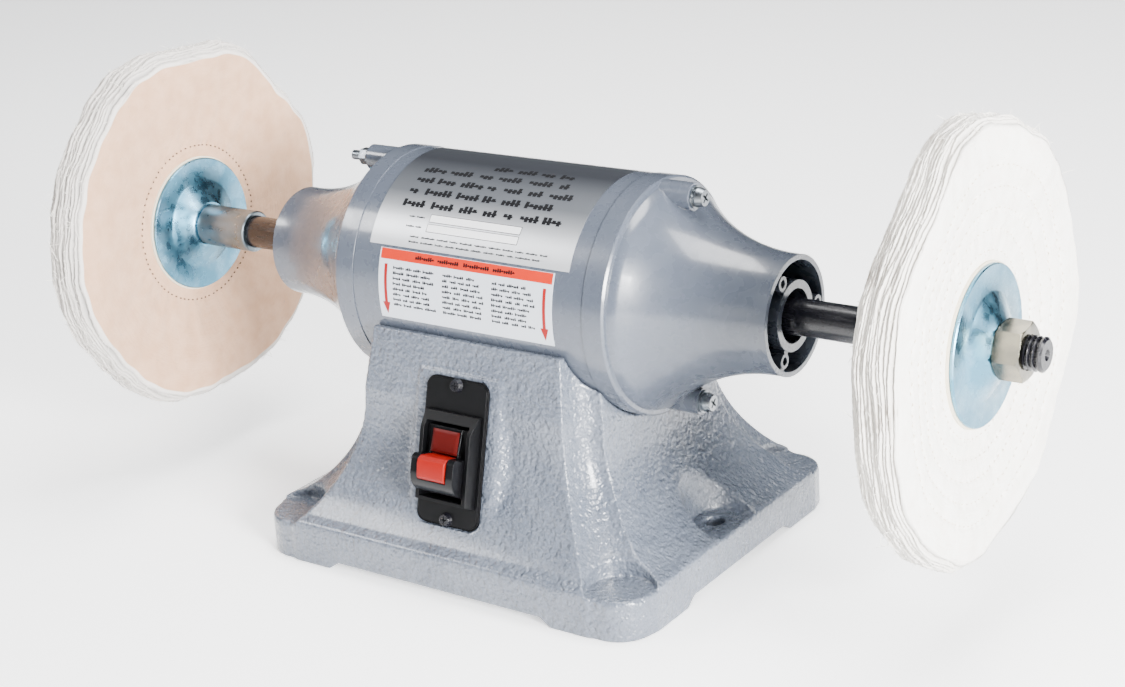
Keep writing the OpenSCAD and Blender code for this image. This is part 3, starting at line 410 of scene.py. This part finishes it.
BASE = base_paint()
MOTOR = motor_paint()
FLANGE = zinc_plate("flange_zinc", (0.085, 0.23, 0.33), (0.15, 0.31, 0.42), 0.26)
NUT = zinc_plate("nut_zinc", (0.13, 0.125, 0.105), (0.20, 0.185, 0.145), 0.17, 0.3)
SCREW = zinc_plate("screw_zinc", (0.16, 0.18, 0.20), (0.26, 0.27, 0.28), 0.28, 0.3)
SLEEVE = zinc_plate("sleeve_zinc", (0.14, 0.17, 0.19), (0.22, 0.25, 0.27), 0.30, 0.5)
BLACKENED = streaked_metal("blackened_steel", (0.004, 0.004, 0.006), 0.22, 0.3, 0.0)
PLAIN = streaked_metal("plain_steel", (0.42, 0.42, 0.43), 0.32)
SPRING = streaked_metal("spring_steel", (0.30, 0.30, 0.31), 0.30)
RACE = streaked_metal("ground_steel", (0.62, 0.62, 0.64), 0.12)
BLACK = moulded("black_moulding", (0.0015, 0.0016, 0.002), 0.42, 0.5, 0.03, specular_ior_level=0.14)
PADDLE = moulded("paddle_moulding", (0.002, 0.002, 0.0025), 0.26, 0.8, specular_ior_level=0.2)
RED = moulded("red_moulding", (0.20, 0.005, 0.003), 0.35, 0.8, specular_ior_level=0.2)
LENS = moulded("lens_moulding", (0.050, 0.002, 0.0015), 0.4, 0.5, specular_ior_level=0.15)
FOIL = foil()
WHITE = surface("label_film", (0.50, 0.53, 0.58), 0.34)
LAMINATION = streaked_metal("lamination", (0.14, 0.14, 0.15), 0.40)
COPPER = surface("varnished_copper", (0.45, 0.16, 0.06), 0.30, 0.9)
ALUMINIUM = streaked_metal("cast_aluminium", (0.60, 0.60, 0.62), 0.38)
BRASS = surface("brass", (0.62, 0.44, 0.17), 0.30, 1.0, 0.2)
FIBRE = surface("pressed_fibre", (0.62, 0.56, 0.44), 0.85)
LEAD = surface("lead_sleeve", (0.02, 0.02, 0.02), 0.5)
GREEN = surface("green_zinc", (0.06, 0.30, 0.10), 0.32, 0.8)

FINISHES = {
    MOTOR: "motor_barrel bell_left bell_right",
    PLAIN: "bottom_cover capacitor_clamp",
    SCREW: "bottom_cover_screws motor_mount_bolts through_bolts through_bolt_washers "
           "through_bolt_nuts clamp_screw",
    BLACKENED: "shaft switch_screws",
    SPRING: "wave_washer",
    RACE: "bearing_outer_left bearing_outer_right bearing_inner_left bearing_inner_right "
          "bearing_balls_left bearing_balls_right",
    BLACK: "switch_plate switch_housing cord_grommet",
    PADDLE: "rocker",
    RED: "lock_key",
    FOIL: "data_plate",
    WHITE: "info_label",
    LAMINATION: "stator_core rotor_core",
    COPPER: "stator_winding",
    ALUMINIUM: "rotor_end_rings run_capacitor",
    BRASS: "switch_terminals bearing_cage_left bearing_cage_right",
    FIBRE: "hub_pads_left hub_pads_right",
    LEAD: "motor_leads",
    GREEN: "ground_screw",
    FLANGE: "inner_flange_left inner_flange_right outer_flange_left outer_flange_right",
    SLEEVE: "sleeve_left sleeve_right",
    NUT: "nut_left nut_right",
    BASE: "base_casting",
}


def soften(obj, angle=32):
    """Smooth shading over curved faces, and hard edges where faces meet at more than angle degrees."""
    weld = obj.modifiers.new("weld", "WELD")
    weld.merge_threshold = 2e-6
    obj.data.shade_smooth()
    split = obj.modifiers.new("hard_edges", "EDGE_SPLIT")
    split.split_angle = math.radians(angle)


for material, names in FINISHES.items():
    for name in names.split():
        mesh = nodes[name].data
        mesh.materials.clear()
        mesh.materials.append(material)
        if mesh.has_custom_normals:
            mesh.attributes.remove(mesh.attributes["custom_normal"])
        soften(nodes[name])


# ---------------------------------------------------------------- mesh helpers
def add_mesh(name, points, faces, material, body):
    """Mesh from points in millimetres, riding on a CAD body."""
    mesh = bpy.data.meshes.new(name)
    points = np.asarray(points, float) / 1000
    faces = np.asarray(faces, np.int32)
    corners = faces.shape[1]
    mesh.vertices.add(len(points))
    mesh.vertices.foreach_set("co", points.astype(np.float32).ravel())
    mesh.loops.add(faces.size)
    mesh.loops.foreach_set("vertex_index", faces.ravel())
    mesh.polygons.add(len(faces))
    mesh.polygons.foreach_set("loop_start", np.arange(0, faces.size, corners, dtype=np.int32))
    mesh.update(calc_edges=True)
    mesh.validate()
    mesh.shade_smooth()
    mesh.materials.append(material)
    obj = bpy.data.objects.new(name, mesh)
    bpy.context.scene.collection.objects.link(obj)
    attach(obj, body)
    return obj


def grid_faces(rows, columns, wrap_rows=False, wrap_columns=False, start=0):
    """Quads over a grid of points stored row by row."""
    r = np.arange(rows if wrap_rows else rows - 1)
    c = np.arange(columns if wrap_columns else columns - 1)
    r, c = np.meshgrid(r, c, indexing="ij")
    r1, c1 = (r + 1) % rows, (c + 1) % columns
    quads = np.stack([r * columns + c, r * columns + c1, r1 * columns + c1, r1 * columns + c], -1)
    return quads.reshape(-1, 4) + start


def tubes(paths, radius, sides):
    """Points and quads of round threads along paths, an array of [thread, step, xyz]."""
    count, steps, _ = paths.shape
    along = np.gradient(paths, axis=1)
    along /= np.linalg.norm(along, axis=2, keepdims=True) + 1e-9
    aside = np.cross(along, np.array([0.31, 0.52, 0.79]))
    aside /= np.linalg.norm(aside, axis=2, keepdims=True) + 1e-9
    above = np.cross(along, aside)
    turn = np.linspace(0, 2 * math.pi, sides, endpoint=False)
    taper = np.sqrt(np.clip(1 - np.linspace(-1, 1, steps) ** 8, 0.05, 1))[None, :, None, None]
    radius = np.broadcast_to(np.asarray(radius, float), (count,))[:, None, None, None]
    ring = np.cos(turn)[:, None] * aside[:, :, None] + np.sin(turn)[:, None] * above[:, :, None]
    points = (paths[:, :, None] + ring * radius * taper).reshape(-1, 3)
    faces = grid_faces(steps, sides, wrap_columns=True)
    offsets = np.arange(count)[:, None, None] * steps * sides
    return points, (faces[None] + offsets).reshape(-1, 4)


# ---------------------------------------------------------------- base casting
def smooth_max(a, b, k):
    """Larger of a and b, with the crease between them rounded over a width of k."""
    h = np.maximum(k - np.abs(a - b), 0) / k
    return np.maximum(a, b) + h * h * k * 0.25


def smooth_min(a, b, k):
    """Smaller of a and b, rounded in the same way."""
    return -smooth_max(-a, -b, k)


def flare(z, top, end, start, taper=0.12):
    """Half size of the pedestal at height z: a tapered wall, then an arc out to the plate."""
    z1 = BASE_T + (LIP_Z - BASE_T) * start
    h1 = top + (LIP_Z - z1) * taper
    run, drop = end - h1, z1 - BASE_T
    r = (run * run + drop * drop) / (2 * run)
    low = np.clip(z, BASE_T, z1)
    return np.where(z >= z1, top + (LIP_Z - z) * taper, h1 + r - np.sqrt(r * r - (z1 - low) ** 2))


def rounded_box(x, y, half_x, half_y, r):
    """Distance to a rectangle with corners of radius r, negative inside it."""
    qx, qy = np.abs(x) - half_x + r, np.abs(y) - half_y + r
    return np.hypot(np.maximum(qx, 0), np.maximum(qy, 0)) + np.minimum(np.maximum(qx, qy), 0) - r


def casting_field(x, y, z):
    """Distance to the skin of the base casting, negative inside the iron."""
    lip_y = math.sqrt(SADDLE_R ** 2 - (AXIS_H - LIP_Z) ** 2) + LIP_T
    bx = flare(z, TOP_X, HALF_W - EDGE_GAP, SIDE_FLARE)
    by = flare(z, lip_y, HALF_D - EDGE_GAP, FRONT_FLARE, FRONT_TAPER)
    fx = flare(z, RIDGE_X, HALF_W - FLUTE_X, FRONT_FLARE)
    sy = flare(z, RIDGE_Y, HALF_D - FLUTE_Y, CORNER_FLARE)
    ax, ay = np.abs(x), np.abs(y)
    # the walls lean more towards the plate, so their distance is measured square to them
    lean = np.clip((LIP_Z - z) / (LIP_Z - BASE_T), 0, 1) ** 3 * 1.4
    steep = np.sqrt(1 + lean * lean)
    walls = smooth_max((ax - bx) / steep, (ay - by) / steep, 1.0)
    u, v = (ax - bx) / (bx - fx), (ay - by) / (by - sy)
    e = np.hypot(u, v) + 1e-6
    cove = (1 - e) * np.hypot(ax - bx, ay - by) / e / steep
    body = smooth_max(walls, np.where((u > -1.2) & (v > -1.2), cove, -50), 0.9)
    shell = np.maximum(body, z - LIP_Z)
    # switch boss: a flat face with sloping flanks and ends; 1.64 and 1.3 are the lengths of those slopes
    ahead = -(y + PANEL_Y) * math.cos(PANEL_TILT) + (z - PANEL_Z) * math.sin(PANEL_TILT)
    along = (y + PANEL_Y) * math.sin(PANEL_TILT) + (z - PANEL_Z) * math.cos(PANEL_TILT)
    proud = ahead - SEAT_DEPTH
    flank = (ax - BOSS_X + BOSS_FLANK * proud) / 1.64
    end = (along - BOSS_UP + BOSS_END * proud) / 1.3
    boss = smooth_max(smooth_max(proud, flank, 0.8), end, 1.0)
    boss = np.maximum(boss, BOSS_FOOT - z)
    shell = smooth_min(shell, np.maximum(boss, y + 40), 0.8)
    plate = smooth_max(rounded_box(x, y, HALF_W, HALF_D, CORNER_R), z - BASE_T, 5.0)
    solid = smooth_min(plate, shell, 4.0)
    # scoops, corner pads, saddle, feet
    scoop = np.maximum(np.hypot(ax - SCOOP_X, y) - SCOOP_R - SCOOP_LEAN * (z - BASE_T), BASE_T - z)
    solid = smooth_max(solid, -scoop, 1.2)
    pad = np.maximum(np.hypot(ax - PAD_X, ay - PAD_Y) - PAD_R, BASE_T - PAD_DEPTH - z)
    solid = smooth_max(solid, -pad, 0.8)
    solid = smooth_max(solid, SADDLE_R - np.hypot(y, z - AXIS_H), 1.0)
    for across, reach in ((ax, FOOT_X), (ay, FOOT_Y)):
        solid = smooth_max(solid, -np.maximum(z - FOOT_H, across + 1.5 * z - reach) / 1.3, 0.8)
    # seat of the switch plate
    solid = np.maximum(solid, -np.maximum(rounded_box(x, along, SEAT_X, SEAT_UP, SEAT_R), -ahead))
    # holes and hollows
    solid = np.maximum(solid, BOLT_R - np.hypot(ax - BOLT_X, y))
    recess = np.maximum(rounded_box(x, y, COVER_X, COVER_Y, COVER_R), z - COVER_DEPTH)
    solid = np.maximum(solid, -recess)
    inner = rounded_box(x, y, COVER_X - COVER_LEDGE, COVER_Y - COVER_LEDGE, COVER_R)
    inner = np.maximum(np.maximum(body + WALL_T, inner), z - ROOF_Z)
    around_scoop = np.hypot(ax - SCOOP_X, y) - SCOOP_R - 10
    under_pad = np.hypot(ax - PAD_X, ay - PAD_Y) - PAD_R - 5
    post = np.hypot(ax - POST_X, ay - POST_Y) - POST_R
    for kept in (around_scoop, under_pad, post):
        inner = np.maximum(inner, -kept)
    solid = np.maximum(solid, -inner)
    window = np.maximum(ax - WINDOW_X, np.maximum(along - WINDOW_TOP, -WINDOW_LOW - along))
    window = np.maximum(window, np.abs(ahead + WINDOW_DEPTH - 24) - 24)
    solid = np.maximum(solid, -window)
    inlet = np.maximum(np.hypot(x - INLET_X, z - INLET_Z) - INLET_R, INLET_Y - y)
    return np.maximum(solid, -inlet)


def build_base():
    """One skin round the casting's field, sampled on a regular grid with some room round it."""
    step = 0.85
    room = 3.0
    low = np.array([-HALF_W, -HALF_D, 0.0]) - room
    counts = np.ceil((np.array([HALF_W, HALF_D, LIP_Z]) + room - low) / step).astype(int)
    axes = [low[i] + step * np.arange(counts[i]) for i in range(3)]
    x, y, z = axes[0][:, None, None], axes[1][None, :, None], axes[2][None, None, :]
    field = casting_field(x, y, z)
    field = np.maximum(field, -z + 0 * x).astype(np.float32)
    grid = openvdb.FloatGrid(4 * step)
    grid.copyFromArray(np.clip(field, -4 * step, 4 * step))
    points, quads = grid.convertToQuads(0.0)
    points = points * step + low
    points[:, 2] = np.maximum(points[:, 2], 0)
    obj = add_mesh("base_skin", points, quads[:, ::-1], BASE, "machine")
    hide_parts("base_casting")


# ---------------------------------------------------------------- cloth wheels
def waves(theta, low, high, rng, power=0.6):
    """Smooth random ripple that closes on itself, with a spread of about 1."""
    k = np.arange(low, high + 1)
    size = k ** -power * rng.normal(size=len(k))
    phase = rng.uniform(0, 2 * math.pi, len(k))
    size /= np.sqrt((size ** 2).sum() / 2) + 1e-9
    return (size[:, None] * np.cos(k[:, None] * theta[None] + phase[:, None])).sum(0)


def ripple(r, theta, modes, rng):
    """Smooth random relief over a wheel's face; modes is (waves round, waves per mm outwards)."""
    out = np.zeros((len(r), len(theta)))
    for around, outward in modes:
        phase, lean = rng.uniform(0, 2 * math.pi), rng.normal()
        outwards = outward * 2 * math.pi * r[:, None] * (1 if lean > 0 else -1)
        out += np.cos(around * theta[None] + outwards + phase)
    return out / math.sqrt(len(modes))


def on_spindle(side, away, radius, angle):
    """Points round the spindle; away is measured outwards from the middle of the wheel on that side."""
    return np.stack([side * (WHEEL_X + away), radius * np.cos(angle), AXIS_H + radius * np.sin(angle)], -1)


def build_wheel(side, name, material, seed, thick, rows, row_depth, pucker, sag):
    """A stack of cotton plies, clamped thin at its hub and fluffed out to its thick rim."""
    rng = np.random.default_rng(seed)
    turns = 1200
    theta = np.linspace(0, 2 * math.pi, turns, endpoint=False)
    outline = PLY_R + 1.3 * waves(theta, 3, 9, rng, 0.2) + 0.3 * waves(theta, 12, 40, rng)
    r = np.concatenate([np.linspace(BORE_R, FLANGE_R - 3, 4), np.linspace(FLANGE_R, FACE_END, 100)])
    s = np.clip((r - FLANGE_R - 2) / (90 - FLANGE_R - 2), 0, 1)
    half = HUB_HALF + (thick / 2 - 5.6) * (1 - np.cos(math.pi * s)) / 2
    free = np.clip((r - FLANGE_R - 1) / 8, 0, 1)[:, None]
    sway = sag * waves(theta, 2, 6, rng)[None] * (s ** 2)[:, None]
    folds = [(a, b) for a in (5, 9, 14, 23, 37) for b in (0.008, 0.02)]
    creases = [(a, b) for a in (60, 83, 127) for b in (0.05, 0.09)]
    faces_xr = []
    for face in (-1, 1):
        relief = pucker * ripple(r, theta, folds, rng)
        relief += 0.1 * pucker * ripple(r, theta, creases, rng)
        for row in rows:
            away = r[:, None] - row - 0.7 * waves(theta, 2, 9, rng)[None]
            relief -= row_depth * np.exp(-(away / 1.5) ** 2) * (1 + 0.35 * waves(theta, 40, 110, rng)[None])
        x = face * (half[:, None] + relief * free) + sway
        shrink = 1 + (outline / PLY_R - 1)[None] * (s ** 3)[:, None]
        faces_xr.append((x, r[:, None] * shrink))
    # rim: each ply ends in its own tip, with a cleft before the next; the outer plies join the faces. A
    # tip's third number is its painted shade, full in a cleft
    tips = []
    drift = np.zeros(turns)
    reach = thick / 2 - 0.8
    for i in range(PLIES):
        u = (i + 0.5) / PLIES * 2 - 1
        drift = 0.6 * drift + 0.5 * waves(theta, 3, 13, rng, 0.5)
        ragged = 0.45 * waves(theta, 4, 22, rng, 0.5) + 0.10 * waves(theta, 60, 200, rng, 0.1)
        drop = RIM_DROP * abs(u) ** 3.5
        tip = outline + 0.7 - drop + ragged
        centre = reach * u + 0.8 * drift * (1 - u * u * 0.4)
        width = reach / PLIES * (0.84 + 0.12 * waves(theta, 4, 18, rng))
        cleft = outline - 1.3 - drop - 0.6 * np.abs(waves(theta, 5, 30, rng))
        if i:
            tips += [(centre - width * 1.03, cleft, 1.0), (centre - width * 0.65, tip - 0.7, 0.25)]
        tips.append((centre, tip, 0.0))
        if i < PLIES - 1:
            tips.append((centre + width * 0.65, tip - 0.7, 0.25))
    rim_x = np.array([t[0] for t in tips]) + sway[-1][None]
    rim_r = np.array([t[1] for t in tips])
    rim_cleft_shade = np.repeat(np.array([t[2] for t in tips])[:, None], turns, 1)
    inner, outer = faces_xr
    x = np.concatenate([inner[0], rim_x, outer[0][::-1]])
    radius = np.concatenate([inner[1], rim_r, outer[1][::-1]])
    # cleft_shade: painted shade of each point, stored in the depth attribute
    cleft_shade, rim = np.zeros_like(x), np.zeros_like(x)
    cleft_shade[len(r):len(r) + len(tips)] = rim_cleft_shade
    rim[len(r) - 2:len(r) + len(tips) + 2] = 1
    points = on_spindle(side, x, radius, theta)
    quads = grid_faces(len(x), turns, wrap_rows=True, wrap_columns=True)
    if side > 0:
        quads = quads[:, ::-1]
    obj = add_mesh(name, points.reshape(-1, 3), quads, material, "spindle")
    for label, values in (("depth", 0.85 * cleft_shade), ("rim", rim)):
        layer = obj.data.attributes.new(label, "FLOAT", "POINT")
        layer.data.foreach_set("value", values.astype(np.float32).ravel())
    lay = obj.data.attributes.new("lay", "FLOAT_VECTOR", "POINT")
    arc = np.broadcast_to(WHEEL_R * theta, x.shape)
    lay.data.foreach_set("vector", np.stack([arc, x, radius], -1).astype(np.float32).ravel())
    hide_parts("wheel_right" if side > 0 else "wheel_left")
    ends = [k for k, t in enumerate(tips) if t[2] == 0.0]
    return theta, r, faces_xr, rim_x[ends], rim_r[ends], rng


def add_stitches(side, name, material, made, rows, length, gap, radius):
    """Short threads lying in the sewn rows of both faces."""
    theta, r, faces_xr, _, _, rng = made
    paths = []
    for face, (x, radial) in zip((-1, 1), faces_xr):
        for row in rows:
            count = int(2 * math.pi * row / (length + gap))
            nearest = int(np.argmin(np.abs(r - row)))
            for i in range(count):
                start = (i + rng.uniform(-0.08, 0.08)) * 2 * math.pi / count
                angle = start + np.linspace(0, length / row, 5)
                column = ((angle / (2 * math.pi) * len(theta)) % len(theta)).astype(int)
                lift = radius * np.sin(np.linspace(0.25, math.pi - 0.25, 5)) * 0.9
                away = x[nearest, column] + face * lift
                paths.append(on_spindle(side, away, radial[nearest, column], angle))
    points, quads = tubes(np.array(paths), radius, 5)
    add_mesh(name, points, quads, material, "spindle")


def add_frays(side, name, material, made, count):
    """Loose fibres that stand out of the plies' tips."""
    theta, _, _, rim_x, rim_r, rng = made
    ply = rng.integers(0, len(rim_x), count)
    column = rng.integers(0, len(theta), count)
    angle = theta[column]
    start = np.stack([rim_x[ply, column], rim_r[ply, column] - 0.8], -1)
    steps = 7
    t = np.linspace(0, 1, steps)[None]
    reach = rng.gamma(2.0, 1.1, count)[:, None].clip(0.6, 6)
    swing = rng.normal(0, 1.1, count)[:, None] * reach / WHEEL_R
    curl = rng.normal(0, 0.5, count)[:, None]
    radial = start[:, 1:2] + reach * t * (1 - 0.55 * t * np.abs(curl))
    turn = angle[:, None] + swing * (t + curl * t * t)
    away = start[:, 0:1] + rng.normal(0, 0.45, count)[:, None] * reach * t + curl * reach * 0.3 * t * t
    paths = on_spindle(side, away, radial, turn)
    points, quads = tubes(paths, rng.uniform(0.07, 0.16, count), 4)
    add_mesh(name, points, quads, material, "spindle")


# ---------------------------------------------------------------- labels and switch lens
def wrapped(name, patches, lift):
    """Printed areas on the barrel, a list for each material: (x0, x1, angle0, angle1).

    The angles are in degrees, up from the front; lift is the height over the barrel.
    """
    for index, (material, areas) in enumerate(patches.items()):
        points, faces = [], []
        for x0, x1, a0, a1 in areas:
            steps = max(2, int((a1 - a0) / 2) + 1)
            angle = np.radians(np.linspace(a0, a1, steps + 1))
            radius = BARREL_R + lift
            ring = np.stack([-radius * np.cos(angle), AXIS_H + radius * np.sin(angle)], -1)
            start = len(points)
            for yz in ring:
                points += [(x0, *yz), (x1, *yz)]
            faces += grid_faces(len(ring), 2, start=start).tolist()
        add_mesh(f"{name}_{index}", points, faces, material, "machine")


def words(x0, x1, angle, height, lengths, gap):
    """A row of upright strokes, gathered into words, that stands for a line of print and spells nothing."""
    areas, x = [], x0
    stroke = 0.5 * height
    pitch = 1.35 * stroke
    spans = ((0, 1), (0, 0.72), (0.25, 0.72), (0, 1), (0, 0.72))
    for length in lengths:
        if x + length > x1:
            break
        for k in range(int(length / pitch)):
            left = x + pitch * k
            low, high = spans[(k * 7 + int(length * 3)) % len(spans)]
            areas.append((left, left + stroke, angle + low * height, angle + high * height))
            areas.append((left, left + pitch, angle + 0.28 * height, angle + 0.5 * height))
        x += length + gap
    return areas


def print_data_plate(rng, ink, pale):
    """Big and small print on the silver plate, and two empty boxes."""
    rows = []
    for indent, angle in DATA_LINES:
        rows += words(DATA_X[0] + indent, DATA_X[1], angle, 4.0, rng.uniform(7, 17, 8), 2.2)
    for angle in NOTE_ANGLES:
        rows += words(*NOTE_X, angle, 0.9, rng.uniform(4, 9, 14), 1.0)
    for angle, lengths in zip(BOX_ANGLES, ((4, 5), (5, 4))):
        rows += words(-40, -29, angle + 1.2, 0.9, lengths, 0.8)
    fields = [(*BOX_X, low, low + BOX_TALL) for low in BOX_ANGLES]
    frames = [(a - BOX_LINE, b + BOX_LINE, c - BOX_LINE, d + BOX_LINE) for a, b, c, d in fields]
    wrapped("data_print", {ink: rows}, 0.42)
    wrapped("data_boxes", {ink: frames}, 0.40)
    wrapped("data_fields", {pale: fields}, 0.45)


def print_info_label(rng, ink, grey_ink, red_ink, arrow_ink):
    """Three columns of print, a red band with a heading, and an arrow down each side."""
    text = []
    for left, right in INFO_COLUMNS:
        for line in range(INFO_LINES):
            text += words(left, right, INFO_TOP - INFO_PITCH * line, 1.45, rng.uniform(3, 8, 7), 0.8)
    arrows = []
    for x in (-ARROW_X, ARROW_X):
        arrows.append((x - ARROW_HALF, x + ARROW_HALF, ARROW_LOW, ARROW_TOP))
        for i in range(HEAD_STEPS):
            half = HEAD_HALF * (1 - i / HEAD_STEPS)
            top = ARROW_LOW - i * HEAD_STEP
            arrows.append((x - half, x + half, top - HEAD_STEP, top))
    wrapped("info_print", {grey_ink: text}, 0.31)
    wrapped("info_red", {red_ink: [(-INFO_X, INFO_X, *BAND_ANGLES)], arrow_ink: arrows}, 0.31)
    wrapped("info_head", {ink: words(-30, 40, 20.4, 1.9, (12, 14, 16, 13), 1.6)}, 0.33)


def build_labels():
    """Print over the two CAD labels."""
    rng = np.random.default_rng(5)
    ink = surface("label_ink", (0.004, 0.004, 0.005), 0.5, specular_ior_level=0.15)
    grey_ink = surface("label_grey_ink", (0.012, 0.012, 0.014), 0.5, specular_ior_level=0.15)
    red_ink = surface("label_red_ink", (0.42, 0.016, 0.003), 0.4, specular_ior_level=0.2)
    arrow_ink = surface("label_arrow_ink", (0.24, 0.004, 0.004), 0.4, specular_ior_level=0.2)
    pale = surface("label_pale_field", (0.66, 0.66, 0.67), 0.35)
    print_data_plate(rng, ink, pale)
    print_info_label(rng, ink, grey_ink, red_ink, arrow_ink)


def on_panel(points):
    """Switch coordinates (across, up the plate, out of it) to the machine's."""
    p = np.asarray(points, float)
    c, s = math.cos(PANEL_TILT), math.sin(PANEL_TILT)
    front = -PANEL_Y + p[:, 1] * s - p[:, 2] * c
    return np.stack([p[:, 0], front, PANEL_Z + p[:, 1] * c + p[:, 2] * s], -1)


def build_lens():
    """Dark red window in the upper half of the paddle, slightly domed."""
    columns, rows = 17, 13
    across = np.linspace(-LENS_X, LENS_X, columns)
    up = np.linspace(LENS_LOW, LENS_HIGH, rows)
    a, u = np.meshgrid(across, up, indexing="ij")
    edge = np.minimum(LENS_X - np.abs(a), np.minimum(u - LENS_LOW, LENS_HIGH - u))
    rest = 8.6 - 1.4 * (u - LENS_LOW) / 12
    rise = rest + 0.5 * np.clip(edge / 1.2, 0, 1) ** 0.5
    top = np.stack([a, u, rise], -1).reshape(-1, 3)
    add_mesh("rocker_lens", on_panel(top), grid_faces(columns, rows), LENS, "rocker")


# ---------------------------------------------------------------- build
build_base()
# each cloth's fourth colour is the painted shade in the clefts between the plies
right_cloth = cloth("sewn_cotton", (0.76, 0.73, 0.67), (0.84, 0.82, 0.77), (0.80, 0.77, 0.72),
                    (0.50, 0.46, 0.41), (0.22, 0.165, 0.12))
left_cloth = cloth("plain_cotton", (0.48, 0.28, 0.165), (0.54, 0.33, 0.21), (0.62, 0.58, 0.54),
                   (0.26, 0.25, 0.24), (0.24, 0.22, 0.20))
thread = surface("cotton_thread", (0.80, 0.77, 0.70), 0.9)
row_thread = surface("row_thread", (0.60, 0.50, 0.38), 0.9)
# painted shade: dark short threads stand for the needle holes of the left wheel's sewn row
needle_hole_shade = surface("needle_holes", (0.07, 0.04, 0.025), 0.9)
right = build_wheel(1, "buff_right", right_cloth, 11, 21.0, ROWS, 0.6, 0.28, 1.3)
add_stitches(1, "stitches_right", row_thread, right, ROWS, 1.6, 2.8, 0.22)
add_frays(1, "frays_right", thread, right, 700)
left = build_wheel(-1, "buff_left", left_cloth, 23, 24.0, LEFT_ROWS, 0.5, 0.3, 1.3)
add_stitches(-1, "stitches_left", needle_hole_shade, left, LEFT_ROWS, 1.2, 2.2, 0.42)
add_frays(-1, "frays_left", thread, left, 900)
build_labels()
build_lens()
